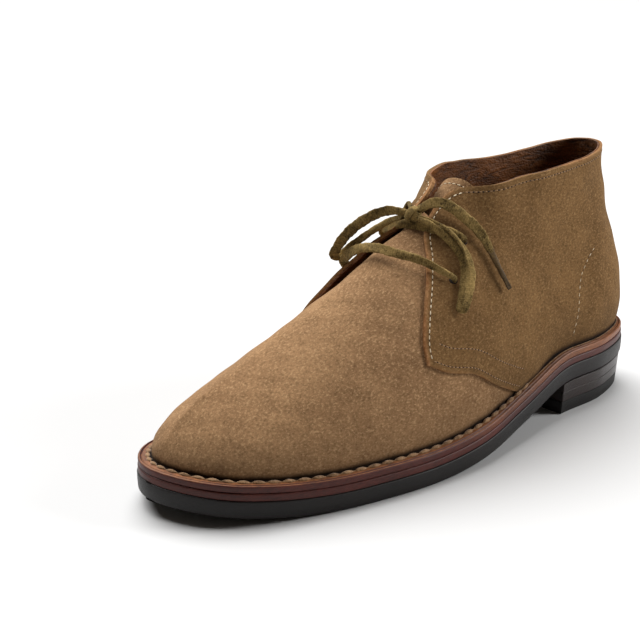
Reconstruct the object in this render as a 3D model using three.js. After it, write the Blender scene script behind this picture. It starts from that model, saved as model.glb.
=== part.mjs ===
// One left chukka boot, standing empty on its sole. Millimetres, +Z up, floor at z = 0.
// +Y points to the heel, the toe is at -Y, and +X is the outer (lateral) side of the foot.
import * as THREE from 'three';
import { mergeVertices, mergeGeometries } from 'three/addons/utils/BufferGeometryUtils.js';

// ---- driving dimensions -------------------------------------------------------------------
const LENGTH = 302;            // heel back to toe tip, measured on the sole edge
const GAP = 0.3;               // clearance that meeting pieces keep
const HEEL_RISE = 18;          // underside of the sole above the floor, over the heel
const BREAST = 74;             // heel breast, distance along from the heel back
const FLAT_START = 186.6;      // the forefoot lies on the floor from here ...
const FLAT_END = 225;          // ... to here, and the toe springs up beyond
const TOE_SPRING = 7.6;        // rise of the sole at the toe tip
const OUTSOLE = 8.6;           // thickness of each layer of the bottom
const MIDSOLE = 3.4;
const WELT = 3.3;
const TOP_PIECE = 6.5;         // rubber wearing layer of the heel
const WALL = 2.3;              // upper: suede and lining together
const SKIN = 1.0;              // the quarters stand this far proud of the last's own surface
const TONGUE = 1.8;            // tongue thickness
const TONGUE_GAP = 1.2;        // the tongue lies this far under the wall of the upper
const INSOLE = 3.2;            // insole above the level of the welt
const HEEL_SET = 0.8;          // the heel block stands in from the sole edge by this much ...
const HEEL_TAPER = 1.6;        // ... and by this much more at the floor
const LAYER_SET = 0.3;         // midsole and welt stand in from the outsole's edge
const CENTRE_SHIFT = -2.44;    // puts the middle of the sole's width on x = 0

const WELT_LOW = OUTSOLE + MIDSOLE + 2 * GAP;
const WELT_TOP = WELT_LOW + WELT;
const HALF = LENGTH / 2;

// Sole edge, heel back to toe tip: one row per point the outline needs. In every table along is
// measured from the heel back, across from the heel's middle line and height from the floor.
const OUTER_EDGE = [
  { along: 0, across: 0 },
  { along: 9, across: 22.5 },
  { along: 38, across: 36.3 },
  { along: 75, across: 39.2 },
  { along: 115, across: 47.2 },
  { along: 150, across: 54.2 },
  { along: 188, across: 54.0 },
  { along: 215, across: 50.4 },
  { along: 240, across: 44.9 },
  { along: 265, across: 36.4 },
  { along: 285, across: 24.6 },
  { along: 297.5, across: 8 },
];
// The same edge on the inner side, toe tip back to heel.
const INNER_EDGE = [
  { along: LENGTH, across: -9 },
  { along: 298, across: -22.5 },
  { along: 285, across: -36.8 },
  { along: 265, across: -46.0 },
  { along: 240, across: -49.8 },
  { along: 215, across: -48.6 },
  { along: 188, across: -42.0 },
  { along: 150, across: -31.8 },
  { along: 115, across: -27.5 },
  { along: 75, across: -30.5 },
  { along: 38, across: -34.3 },
  { along: 9, across: -21.5 },
];

// Ribs of the upper. way: fraction of the sole edge from heel back (0) to toe tip (1).
// margin: welt showing outside the upper. along/outer/inner and outerTop/innerTop: where the rib
// ends, on the collar up to way 0.46 and then on the ridge of the instep and vamp, where both sides
// meet. outerBulge/innerBulge: how far the side swells over the welt. shaft: 1 for a straight wall
// of the ankle, 0 for the rounded roof of the vamp.
const RIBS = [
  { way: 0.00, margin: 4.6, along: 15.5, outer: 0.0, inner: 0.0,
    outerTop: 130.8, innerTop: 130.8, outerBulge: 4.5, innerBulge: 4.5, shaft: 1 },
  { way: 0.05, margin: 4.8, along: 18.0, outer: 9.5, inner: -9.0,
    outerTop: 130.6, innerTop: 129.8, outerBulge: 4.2, innerBulge: 4.2, shaft: 1 },
  { way: 0.10, margin: 5.2, along: 24.5, outer: 16.5, inner: -15.5,
    outerTop: 129.4, innerTop: 128.2, outerBulge: 3.8, innerBulge: 3.8, shaft: 1 },
  { way: 0.20, margin: 5.8, along: 42.0, outer: 22.8, inner: -21.5,
    outerTop: 127.0, innerTop: 125.6, outerBulge: 3.0, innerBulge: 3.5, shaft: 1 },
  { way: 0.30, margin: 6.2, along: 64.0, outer: 25.2, inner: -24.8,
    outerTop: 126.0, innerTop: 124.2, outerBulge: 1.5, innerBulge: 5.0, shaft: 1 },
  { way: 0.40, margin: 6.8, along: 91.0, outer: 25.0, inner: -24.5,
    outerTop: 125.6, innerTop: 126.2, outerBulge: 0.0, innerBulge: 8.0, shaft: 0.95 },
  { way: 0.46, margin: 7.3, along: 112.0, outer: 18.5, inner: -18.0,
    outerTop: 125.0, innerTop: 128.0, outerBulge: 0.0, innerBulge: 8.0, shaft: 0.7 },
  { way: 0.50, margin: 7.6, along: 123.0, outer: 0.0, inner: 0.0,
    outerTop: 127.0, innerTop: 127.0, outerBulge: 0.0, innerBulge: 7.5, shaft: 0.3 },
  { way: 0.56, margin: 7.8, along: 141.0, outer: -1.0, inner: -1.0,
    outerTop: 109.5, innerTop: 109.5, outerBulge: 0.0, innerBulge: 6.0, shaft: 0.1 },
  { way: 0.62, margin: 8.0, along: 161.0, outer: -2.0, inner: -2.0,
    outerTop: 98.8, innerTop: 98.8, outerBulge: 0.5, innerBulge: 4.0, shaft: 0 },
  { way: 0.70, margin: 8.0, along: 190.0, outer: -3.0, inner: -3.0,
    outerTop: 83.5, innerTop: 83.5, outerBulge: 1.0, innerBulge: 3.0, shaft: 0 },
  { way: 0.80, margin: 8.0, along: 221.0, outer: -5.0, inner: -5.0,
    outerTop: 68.3, innerTop: 68.3, outerBulge: 1.0, innerBulge: 2.0, shaft: 0 },
  { way: 0.90, margin: 8.2, along: 250.0, outer: -7.0, inner: -7.0,
    outerTop: 55.8, innerTop: 55.8, outerBulge: 1.0, innerBulge: 1.5, shaft: 0 },
  { way: 0.95, margin: 8.4, along: 262.5, outer: -8.0, inner: -8.0,
    outerTop: 50.9, innerTop: 50.9, outerBulge: 1.0, innerBulge: 1.0, shaft: 0 },
  { way: 1.00, margin: 8.6, along: 272.0, outer: -9.0, inner: -9.0,
    outerTop: 47.0, innerTop: 47.0, outerBulge: 1.0, innerBulge: 1.0, shaft: 0 },
];
// Fullness of the vamp's roof: powers of its rounded section, larger is flatter. The two sides
// blend to one value round the toe, from this way on.
const ROOF = {
  outer: { across: 1.05, up: 1.0 },
  inner: { across: 1.25, up: 1.1 },
  toe: { across: 1.1, up: 1.0 },
};
const TOE_START = 0.82;

// Throat: how far up its rib the front edge of each quarter lies. 1 is the ridge or the collar.
const THROAT = [
  { way: 0.44, rise: 1.0 },
  { way: 0.46, rise: 0.97 },
  { way: 0.48, rise: 0.91 },
  { way: 0.50, rise: 0.85 },
  { way: 0.53, rise: 0.81 },
  { way: 0.56, rise: 0.8 },
  { way: 0.59, rise: 0.83 },
  { way: 0.62, rise: 0.88 },
  { way: 0.65, rise: 1.0 },
];
const THROAT_END = THROAT[THROAT.length - 1].way;

// ---- laces: one flat lace, run through two pairs of punched holes and tied in a bow ---------
const LACE_RADIUS = 1.15;      // the solids stand for the lace's own flat section
const LACE_SIDES = 8;
const LACE_STEP = 6;           // length of one step of a solid
const KNOT = { along: 147.5, across: 0, height: 112.8, size: [9, 7, 6] };
const TIP = { radius: 1.0, length: 20 };
// Routes: one row per point, clear of the leather below.
const LOWER_BAR = [
  { along: 149.5, across: 30.0, height: 89.5 },
  { along: 155.2, across: 26.8, height: 92.4 },
  { along: 160.7, across: 20.4, height: 96.6 },
  { along: 165.0, across: 14.9, height: 98.6 },
  { along: 168.0, across: 9.0, height: 99.6 },
  { along: 170.5, across: -0.6, height: 100.4 },
  { along: 171.5, across: -10.0, height: 98.8 },
  { along: 171.5, across: -18.5, height: 94.0 },
  { along: 168.0, across: -26.5, height: 87.0 },
];
const UPPER_BAR = [
  { along: 136.5, across: 23.0, height: 104.0 },
  { along: 140.5, across: 19.5, height: 107.0 },
  { along: 144.8, across: 13.0, height: 107.4 },
  { along: 147.0, across: 6.0, height: 108.0 },
  { along: 148.5, across: 0.0, height: 108.2 },
  { along: 149.0, across: -7.0, height: 107.2 },
  { along: 149.0, across: -14.0, height: 104.4 },
  { along: 147.5, across: -20.5, height: 100.0 },
];
const INNER_LOOP = [
  { along: 150.5, across: -5.2, height: 113.8 },
  { along: 153.0, across: -9.5, height: 114.0 },
  { along: 156.5, across: -14.0, height: 112.6 },
  { along: 161.5, across: -18.0, height: 109.4 },
  { along: 166.5, across: -21.0, height: 105.6 },
  { along: 170.5, across: -23.5, height: 101.2 },
  { along: 173.0, across: -26.0, height: 95.8 },
  { along: 173.2, across: -28.0, height: 91.2 },
  { along: 170.2, across: -27.5, height: 90.6 },
  { along: 166.4, across: -24.6, height: 94.6 },
  { along: 161.4, across: -20.2, height: 99.8 },
  { along: 156.0, across: -15.2, height: 105.0 },
  { along: 152.0, across: -9.8, height: 109.0 },
];
const OUTER_LOOP = [
  { along: 147.3, across: 6.8, height: 112.8 },
  { along: 146.0, across: 12.5, height: 111.8 },
  { along: 143.9, across: 19.5, height: 109.0 },
  { along: 141.3, across: 25.5, height: 103.4 },
  { along: 140.5, across: 30.6, height: 96.4 },
  { along: 142.1, across: 34.2, height: 90.0 },
  { along: 146.0, across: 37.2, height: 84.0 },
  { along: 150.0, across: 39.4, height: 78.8 },
  { along: 152.2, across: 39.8, height: 75.6 },
  { along: 152.4, across: 38.0, height: 75.4 },
  { along: 150.4, across: 36.4, height: 78.4 },
  { along: 146.4, across: 34.0, height: 83.6 },
  { along: 142.6, across: 31.0, height: 89.6 },
  { along: 141.2, across: 27.4, height: 95.4 },
  { along: 142.2, across: 23.4, height: 100.8 },
  { along: 145.4, across: 18.2, height: 106.4 },
  { along: 147.8, across: 11.6, height: 110.6 },
];
const OUTER_END = [
  { along: 144.6, across: 3.4, height: 116.4 },
  { along: 142.5, across: 7.2, height: 118.8 },
  { along: 139.2, across: 11.9, height: 119.2 },
  { along: 136.3, across: 16.5, height: 117.0 },
  { along: 133.3, across: 20.9, height: 113.0 },
  { along: 130.0, across: 24.9, height: 108.4 },
  { along: 127.4, across: 28.6, height: 102.8 },
  { along: 125.3, across: 31.6, height: 96.2 },
];
const INNER_END = [
  { along: 144.6, across: -3.4, height: 116.0 },
  { along: 141.6, across: -7.4, height: 117.4 },
  { along: 138.6, across: -11.4, height: 115.6 },
  { along: 136.4, across: -15.6, height: 110.8 },
  { along: 135.4, across: -19.6, height: 104.6 },
  { along: 135.2, across: -23.6, height: 98.0 },
  { along: 135.6, across: -27.0, height: 91.4 },
  { along: 136.2, across: -30.0, height: 85.0 },
];

// ---- curves -------------------------------------------------------------------------------
// Smooth curve through the rows of a table, read by its first column.
function smooth(rows, key, value, at) {
  const last = rows.length - 1;
  let i = 0;
  while (i < last - 1 && at >= rows[i + 1][key]) i += 1;
  const step = (j) => rows[j + 1][key] - rows[j][key];
  const rate = (j) => (rows[j + 1][value] - rows[j][value]) / step(j);
  const slope = (j) => {
    if (j === 0) return rate(0);
    if (j === last) return rate(last - 1);
    return (rate(j - 1) * step(j) + rate(j) * step(j - 1)) / (step(j) + step(j - 1));
  };
  const width = step(i);
  const s = (at - rows[i][key]) / width;
  const a = rows[i][value];
  const b = rows[i + 1][value];
  const m = slope(i) * width;
  const n = slope(i + 1) * width;
  return a + m * s + (3 * (b - a) - 2 * m - n) * s * s + (2 * (a - b) + m + n) * s * s * s;
}

const clamp = (value, low, high) => Math.min(Math.max(value, low), high);

function ease(value) {
  const s = clamp(value, 0, 1);
  return s * s * (3 - 2 * s);
}

// Sole edge as two fine polylines with their running length, outer and inner side.
const FINE = 40;
function halfEdges() {
  const rows = [...OUTER_EDGE, ...INNER_EDGE];
  const knots = rows.map((row) => new THREE.Vector3(row.across, row.along, 0));
  const loop = new THREE.CatmullRomCurve3(knots, true, 'centripetal');
  const points = [];
  const count = rows.length * FINE;
  for (let i = 0; i <= count; i += 1) points.push(loop.getPoint(i / count));
  const tip = OUTER_EDGE.length * FINE;
  return [points.slice(0, tip + 1), points.slice(tip).reverse()].map((half) => {
    const run = [0];
    for (let i = 1; i < half.length; i += 1) run.push(run[i - 1] + half[i].distanceTo(half[i - 1]));
    return { half, run };
  });
}
const [OUTER_HALF, INNER_HALF] = halfEdges();

// Point of the sole edge. side is +1 outer or -1 inner; a way past either end turns the corner.
function edgePoint(side, way) {
  if (way < 0) return edgePoint(-side, -way);
  if (way > 1) return edgePoint(-side, 2 - way);
  const { half, run } = side > 0 ? OUTER_HALF : INNER_HALF;
  const target = way * run[run.length - 1];
  let i = 0;
  while (i < run.length - 2 && run[i + 1] < target) i += 1;
  const part = (target - run[i]) / (run[i + 1] - run[i]);
  return half[i].clone().lerp(half[i + 1], part);
}

function edgeNormal(side, way) {
  const reach = 0.01;
  const d = edgePoint(side, way + reach).sub(edgePoint(side, way - reach)).normalize();
  return new THREE.Vector3(d.y, -d.x, 0).multiplyScalar(side);
}

// Sole edge moved inwards by an inset. x is across and y is along.
function insetEdge(side, way, inset) {
  return edgePoint(side, way).addScaledVector(edgeNormal(side, way), -inset);
}

// Underside of the sole above the floor: flat at the forefoot, raised by the heel, sprung at the toe.
const SPRING_POWER = 1.8;
const ARCH_POWER = 1.62;
const ARCH_BEND = 0.1;         // part of the arch that rounds over into the level seat of the heel
function underside(along) {
  const beyond = Math.max((along - FLAT_END) / (LENGTH - FLAT_END), 0);
  let climb = clamp((FLAT_START - along) / (FLAT_START - BREAST), 0, 1 + ARCH_BEND);
  if (climb > 1 - ARCH_BEND) climb -= (climb - 1 + ARCH_BEND) ** 2 / (4 * ARCH_BEND);
  return TOE_SPRING * beyond ** SPRING_POWER + HEEL_RISE * climb ** ARCH_POWER;
}

// ---- the surface of the upper -------------------------------------------------------------
// Height of the ridge of instep and vamp, going on straight beyond its two ends.
const RIDGE = RIBS.filter((row) => row.way >= 0.5);
function roofLine(along) {
  const first = RIDGE[0];
  const last = RIDGE[RIDGE.length - 1];
  if (along < first.along || along > last.along) {
    const [a, b] = along < first.along ? RIDGE.slice(0, 2) : RIDGE.slice(-2);
    const end = along < first.along ? first : last;
    return end.outerTop + (along - end.along) * (b.outerTop - a.outerTop) / (b.along - a.along);
  }
  return smooth(RIDGE, 'along', 'outerTop', along);
}

// Where the straight wall of the ankle stops leaning in: a fraction of the rise, growing to 1
// where the collar turns into the throat.
const LEAN = { from: 0.85, start: 0.3, run: 0.16 };
// From this way on, over this run, the roof's slope along the foot is carried across its sections.
const SLOPE = { start: 0.44, run: 0.12 };
const SWELL = 6.75;            // makes a bulge of 1 swell by 1 at its fullest

// rise goes from 0 at the welt to 1 at the rib's end. Returns a point in the boot's own frame.
function lastPoint(side, way, rise) {
  const rib = (value) => smooth(RIBS, 'way', value, way);
  const name = side > 0 ? 'outer' : 'inner';
  const foot = insetEdge(side, way, rib('margin'));
  const out = edgeNormal(side, way);
  const base = underside(foot.y) + WELT_TOP + 3 * GAP;
  const shaft = clamp(rib('shaft'), 0, 1);
  const angle = rise * Math.PI / 2;
  const blunt = ease((way - TOE_START) / (1 - TOE_START));
  const roof = (power) => ROOF[name][power] + (ROOF.toe[power] - ROOF[name][power]) * blunt;
  const over = 1 - Math.max(Math.cos(angle), 0) ** roof('across');
  const reach = LEAN.from + (1 - LEAN.from) * ease((way - LEAN.start) / LEAN.run);
  const across = (1 - shaft) * over + shaft * ease(rise / reach);
  const up = (1 - shaft) * Math.sin(angle) ** roof('up') + shaft * rise;
  const tilt = (1 - shaft) * ease((way - SLOPE.start) / SLOPE.run);
  const swell = rib(`${name}Bulge`) * SWELL * rise * (1 - rise) ** 2;
  const along = foot.y + (rib('along') - foot.y) * across + out.y * swell;
  const x = foot.x + (rib(name) - foot.x) * across + out.x * swell;
  const top = rib(`${name}Top`) + tilt * (roofLine(along) - roofLine(rib('along')));
  return new THREE.Vector3(x, HALF - along, base + (top - base) * up);
}

// ---- solids from sheets -------------------------------------------------------------------
// A sheet is a grid of points; this gives its merged triangles with normals at every point.
function sheet(columns, flip) {
  const positions = [];
  const quad = (a, b, c, d) => {
    const corners = flip ? [a, c, b, a, d, c] : [a, b, c, a, c, d];
    corners.forEach((p) => positions.push(p.x, p.y, p.z));
  };
  for (let i = 0; i + 1 < columns.length; i += 1) {
    for (let j = 0; j + 1 < columns[i].length; j += 1) {
      quad(columns[i][j], columns[i + 1][j], columns[i + 1][j + 1], columns[i][j + 1]);
    }
  }
  const soup = new THREE.BufferGeometry();
  soup.setAttribute('position', new THREE.Float32BufferAttribute(positions, 3));
  return soup;
}

function merged(...soups) {
  const all = mergeVertices(mergeGeometries(soups), 1e-3);
  const index = all.index.array;
  const kept = [];
  for (let i = 0; i < index.length; i += 3) {
    const [a, b, c] = [index[i], index[i + 1], index[i + 2]];
    if (a !== b && b !== c && c !== a) kept.push(a, b, c);
  }
  all.setIndex(kept);
  all.computeVertexNormals();
  return all;
}

// Closed solid between two offsets of a sheet, with a rim wherever the sheet has an open edge.
function thicken(surface, outside, inside) {
  const at = surface.attributes.position;
  const normal = surface.attributes.normal;
  const index = Array.from(surface.index.array);
  const count = at.count;
  const points = [];
  for (const offset of [outside, inside]) {
    for (let i = 0; i < count; i += 1) {
      points.push(
        at.getX(i) + normal.getX(i) * offset,
        at.getY(i) + normal.getY(i) * offset,
        at.getZ(i) + normal.getZ(i) * offset,
      );
    }
  }
  const faces = [...index];
  const edges = new Set();
  for (let i = 0; i < index.length; i += 3) {
    const [a, b, c] = [index[i], index[i + 1], index[i + 2]];
    faces.push(a + count, c + count, b + count);
    for (const [p, q] of [[a, b], [b, c], [c, a]]) edges.add(`${p},${q}`);
  }
  for (const edge of edges) {
    const [p, q] = edge.split(',').map(Number);
    if (!edges.has(`${q},${p}`)) faces.push(p, p + count, q + count, p, q + count, q);
  }
  const solid = new THREE.BufferGeometry();
  solid.setAttribute('position', new THREE.Float32BufferAttribute(points, 3));
  solid.setIndex(faces);
  return solid;
}

// Ways at which columns stand, closer together where the edge turns at heel and toe.
const CROWDING = 0.55;
function ways(count, from = 0, to = 1) {
  const list = [];
  for (let i = 0; i <= count; i += 1) {
    const s = i / count;
    const even = from + (to - from) * s;
    const turned = from + (to - from) * (1 - Math.cos(Math.PI * s)) / 2;
    list.push((1 - CROWDING) * even + CROWDING * turned);
  }
  return list;
}

// ---- upper --------------------------------------------------------------------------------
const RIB_COUNT = 42;
const RISE_COUNT = 13;
function upperGeometry() {
  const stations = ways(RIB_COUNT);
  const nearest = stations.reduce((a, b) => (Math.abs(b - THROAT_END) < Math.abs(a - THROAT_END) ? b : a));
  const column = (side, way) => {
    const inThroat = way > THROAT[0].way && way < THROAT_END && way !== nearest;
    const limit = inThroat ? Math.min(smooth(THROAT, 'way', 'rise', way), 1) : 1;
    const points = [];
    for (let j = 0; j <= RISE_COUNT; j += 1) points.push(lastPoint(side, way, limit * j / RISE_COUNT));
    return points;
  };
  const outer = sheet(stations.map((way) => column(1, way)), true);
  const inner = sheet(stations.map((way) => column(-1, way)), false);
  return thicken(merged(outer, inner), SKIN, SKIN - WALL);
}

// ---- tongue: lies under the throat, from the vamp up to the collar -------------------------
const TONGUE_TOP = 0.505;
const TONGUE_FOOT = 0.68;
const TONGUE_SIDE = 0.58;
function tongueGeometry() {
  const stations = ways(12, TONGUE_TOP, TONGUE_FOOT);
  const column = (side, way) => {
    const points = [];
    const steps = 8;
    for (let j = 0; j <= steps; j += 1) {
      points.push(lastPoint(side, way, TONGUE_SIDE + (1 - TONGUE_SIDE) * j / steps));
    }
    return points;
  };
  const outer = sheet(stations.map((way) => column(1, way)), true);
  const inner = sheet(stations.map((way) => column(-1, way)), false);
  const top = SKIN - WALL - TONGUE_GAP;
  return thicken(merged(outer, inner), top, top - TONGUE);
}

// ---- layers of the bottom ------------------------------------------------------------------
const LAYER_STEPS = 40;
// Closed layer between two heights over the underside, inside an inset of the sole edge.
// inset(way) gives the inset.
function layer(inset, low, high) {
  const stations = ways(LAYER_STEPS);
  const at = (side, way, height) => {
    const p = insetEdge(side, way, inset(way));
    return new THREE.Vector3(p.x, HALF - p.y, underside(p.y) + height);
  };
  const top = sheet(stations.map((way) => [at(-1, way, high), at(1, way, high)]), false);
  const bottom = sheet(stations.map((way) => [at(-1, way, low), at(1, way, low)]), true);
  const outer = sheet(stations.map((way) => [at(1, way, low), at(1, way, high)]), true);
  const inner = sheet(stations.map((way) => [at(-1, way, low), at(-1, way, high)]), false);
  return merged(top, bottom, outer, inner);
}

// The welt is a strip all round, from the sole edge to just inside the upper.
function weltGeometry() {
  const stations = ways(LAYER_STEPS);
  const inside = (way) => smooth(RIBS, 'way', 'margin', way) + WALL + GAP;
  const at = (side, way, inset, height) => {
    const p = insetEdge(side, way, inset);
    return new THREE.Vector3(p.x, HALF - p.y, underside(p.y) + height);
  };
  const soups = [];
  for (const side of [1, -1]) {
    const rings = stations.map((way) => [
      at(side, way, LAYER_SET, WELT_LOW),
      at(side, way, LAYER_SET, WELT_TOP),
      at(side, way, inside(way), WELT_TOP),
      at(side, way, inside(way), WELT_LOW),
      at(side, way, LAYER_SET, WELT_LOW),
    ]);
    soups.push(sheet(rings, side > 0));
  }
  return merged(...soups);
}

// ---- heel -----------------------------------------------------------------------------------
// Heel outline at a height: the sole edge, drawn in by the taper, cut off at the breast. Its
// points stand closer together round the back.
const HEEL_STEPS = 14;
const BREAST_STEP = 0.002;
function heelOutline(taper) {
  const breastWay = (side) => {
    let way = 0;
    while (insetEdge(side, way, taper).y < BREAST) way += BREAST_STEP;
    return way;
  };
  return [1, -1].map((side) => {
    const end = breastWay(side);
    const half = [];
    for (let i = 0; i <= HEEL_STEPS; i += 1) {
      const s = i / HEEL_STEPS;
      const p = insetEdge(side, end * (0.6 * s + 0.4 * s * s), taper);
      half.push(new THREE.Vector2(p.x, Math.min(p.y, BREAST)));
    }
    return half;
  });
}

function heelPiece(low, high) {
  const soups = [];
  const taperAt = (z) => HEEL_SET + HEEL_TAPER * (1 - z / HEEL_RISE);
  const build = (z) => heelOutline(taperAt(z)).map((half) => half.map((p) => (
    new THREE.Vector3(p.x, HALF - p.y, Math.min(z, underside(p.y) - GAP)))));
  const [outerLow, innerLow] = build(low);
  const [outerHigh, innerHigh] = build(high);
  const pairs = (a, b) => a.map((p, i) => [p, b[i]]);
  soups.push(sheet(pairs(innerHigh, outerHigh), false));
  soups.push(sheet(pairs(innerLow, outerLow), true));
  soups.push(sheet(pairs(outerLow, outerHigh), true));
  soups.push(sheet(pairs(innerLow, innerHigh), false));
  const last = outerLow.length - 1;
  soups.push(sheet([[innerLow[last], innerHigh[last]], [outerLow[last], outerHigh[last]]], false));
  return merged(...soups);
}

// ---- laces --------------------------------------------------------------------------------------
const place = (row) => new THREE.Vector3(row.across, HALF - row.along, row.height);

function tube(rows, radius) {
  const path = new THREE.CatmullRomCurve3(rows.map(place), false, 'centripetal');
  const section = new THREE.Shape();
  for (let i = 0; i < LACE_SIDES; i += 1) {
    const turn = 2 * Math.PI * i / LACE_SIDES;
    const go = i === 0 ? 'moveTo' : 'lineTo';
    section[go](radius * Math.cos(turn), radius * Math.sin(turn));
  }
  section.closePath();
  const steps = Math.max(2, Math.round(path.getLength() / LACE_STEP));
  const solid = new THREE.ExtrudeGeometry(section, { steps, extrudePath: path, bevelEnabled: false });
  return pointsOnly(solid);
}

function pointsOnly(geometry) {
  geometry.deleteAttribute('normal');
  geometry.deleteAttribute('uv');
  return mergeVertices(geometry, 1e-4);
}

function knotGeometry() {
  const ball = new THREE.SphereGeometry(1, 14, 9);
  ball.scale(...KNOT.size.map((value) => value / 2));
  ball.translate(KNOT.across, HALF - KNOT.along, KNOT.height);
  return pointsOnly(ball);
}

// Stiff tip, in line with the last stretch of an end.
function tipRows(rows) {
  const end = place(rows[rows.length - 1]);
  const lead = end.clone().sub(place(rows[rows.length - 2])).normalize();
  return [GAP, TIP.length].map((reach) => {
    const p = end.clone().addScaledVector(lead, reach);
    return { along: HALF - p.y, across: p.x, height: p.z };
  });
}

// ---- assembly --------------------------------------------------------------------------------
const boot = new THREE.Group();
function add(name, geometry, color, roughness) {
  geometry.translate(CENTRE_SHIFT, 0, 0);
  const mesh = new THREE.Mesh(geometry, new THREE.MeshStandardMaterial({ color, roughness }));
  mesh.name = name;
  boot.add(mesh);
}

add('outsole', layer(() => 0, 0, OUTSOLE), 0x2d2828, 0.5);
add('midsole', layer(() => LAYER_SET, OUTSOLE + GAP, OUTSOLE + GAP + MIDSOLE), 0x5f2d28, 0.45);
add('welt', weltGeometry(), 0x96552d, 0.55);
const insoleInset = (way) => smooth(RIBS, 'way', 'margin', way) + WALL + 2 * GAP;
add('insole', layer(insoleInset, WELT_LOW, WELT_TOP + INSOLE), 0x9a7550, 0.7);
add('heel_stack', heelPiece(TOP_PIECE + GAP, HEEL_RISE - GAP), 0x33282a, 0.4);
add('heel_top_piece', heelPiece(0, TOP_PIECE), 0x1f1d1d, 0.6);
add('upper', upperGeometry(), 0x876c4c, 0.95);
add('tongue', tongueGeometry(), 0x876c4c, 0.95);
add('lace_lower_bar', tube(LOWER_BAR, LACE_RADIUS), 0x5a4f2c, 0.8);
add('lace_upper_bar', tube(UPPER_BAR, LACE_RADIUS), 0x5a4f2c, 0.8);
add('lace_knot', knotGeometry(), 0x5a4f2c, 0.8);
add('lace_loop_inner', tube(INNER_LOOP, LACE_RADIUS), 0x5a4f2c, 0.8);
add('lace_loop_outer', tube(OUTER_LOOP, LACE_RADIUS), 0x5a4f2c, 0.8);
add('lace_end_outer', tube(OUTER_END, LACE_RADIUS), 0x5a4f2c, 0.8);
add('lace_end_inner', tube(INNER_END, LACE_RADIUS), 0x5a4f2c, 0.8);
add('lace_tip_outer', tube(tipRows(OUTER_END), TIP.radius), 0x4a4228, 0.5);
add('lace_tip_inner', tube(tipRows(INNER_END), TIP.radius), 0x4a4228, 0.5);

export default boot;
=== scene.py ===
# %% [markdown]
# # A left chukka boot in suede
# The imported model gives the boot's size and place. This script dresses it: suede panels cut and
# laid on the last, raw edges, stitching, a welted sole in five layers, and a flat waxed lace.
# Everything is in metres: +Y points to the heel, +X to the outer side of the foot, +Z up.

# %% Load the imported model
import bpy
import math
import numpy as np
from mathutils import Matrix, Vector
from mathutils.bvhtree import BVHTree


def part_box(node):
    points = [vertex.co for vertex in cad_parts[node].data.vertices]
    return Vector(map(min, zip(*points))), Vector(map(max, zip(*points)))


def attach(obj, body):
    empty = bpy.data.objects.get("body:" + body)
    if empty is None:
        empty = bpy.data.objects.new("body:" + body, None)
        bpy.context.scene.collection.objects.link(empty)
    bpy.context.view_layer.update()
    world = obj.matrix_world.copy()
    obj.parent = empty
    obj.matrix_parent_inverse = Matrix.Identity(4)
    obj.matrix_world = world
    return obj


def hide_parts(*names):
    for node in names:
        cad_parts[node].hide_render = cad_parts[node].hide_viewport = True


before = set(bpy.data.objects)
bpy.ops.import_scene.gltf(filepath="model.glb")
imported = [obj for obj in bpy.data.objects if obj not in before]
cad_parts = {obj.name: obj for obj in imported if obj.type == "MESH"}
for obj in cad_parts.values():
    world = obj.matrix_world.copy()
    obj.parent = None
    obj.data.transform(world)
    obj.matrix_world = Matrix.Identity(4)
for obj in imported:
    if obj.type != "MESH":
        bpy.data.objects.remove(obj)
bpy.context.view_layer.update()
SOLE_LOW, SOLE_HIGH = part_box("outsole")
LENGTH = SOLE_HIGH[1] - SOLE_LOW[1]
HALF = LENGTH / 2
CENTRE_SHIFT = -0.00244        # the last's middle line stands this far from x = 0
print("boot length", round(LENGTH, 4), "nodes", len(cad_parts))


# %% [markdown]
# ## Camera, light and floor
# A long lens looks down on the boot from the toe's outer side. A small roll is part of the view.
# The camera is turned by a matrix made of its own right, up and back directions, which is easier
# to reason about than three Euler angles.

# %% Camera
AZIMUTH = math.radians(48.575)
ELEVATION = math.radians(18.738)
ROLL = math.radians(-0.334)
DISTANCE = 0.850
TARGET = Vector((-0.08047 + CENTRE_SHIFT, 0.01473, 0.03650))
LENS_MM = 88.98

back = Vector((
    math.sin(AZIMUTH) * math.cos(ELEVATION),
    -math.cos(AZIMUTH) * math.cos(ELEVATION),
    math.sin(ELEVATION),
))
right = Vector((math.cos(AZIMUTH), math.sin(AZIMUTH), 0))
up = back.cross(right)
right, up = (
    right * math.cos(ROLL) + up * math.sin(ROLL),
    up * math.cos(ROLL) - right * math.sin(ROLL),
)
camera_data = bpy.data.cameras.new("camera")
camera_data.lens = LENS_MM
camera_data.sensor_width = 36
camera_data.clip_start = 0.01
camera = bpy.data.objects.new("camera", camera_data)
bpy.context.scene.collection.objects.link(camera)
camera.matrix_world = Matrix.Translation(TARGET + back * DISTANCE) @ Matrix(
    (right, up, back)).transposed().to_4x4()
bpy.context.scene.camera = camera
print("camera at", [round(v, 3) for v in camera.matrix_world.translation])


# %% [markdown]
# ## Small tools
# A boot has few straight lines, so most of its measures are short tables with a smooth curve
# drawn through them. Blender's own curves could do that, but numbers can be asked for a point
# anywhere. `smooth` is that curve, `ease` a soft step from 0 to 1, and `trace` spaces points
# evenly on a curve.

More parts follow.
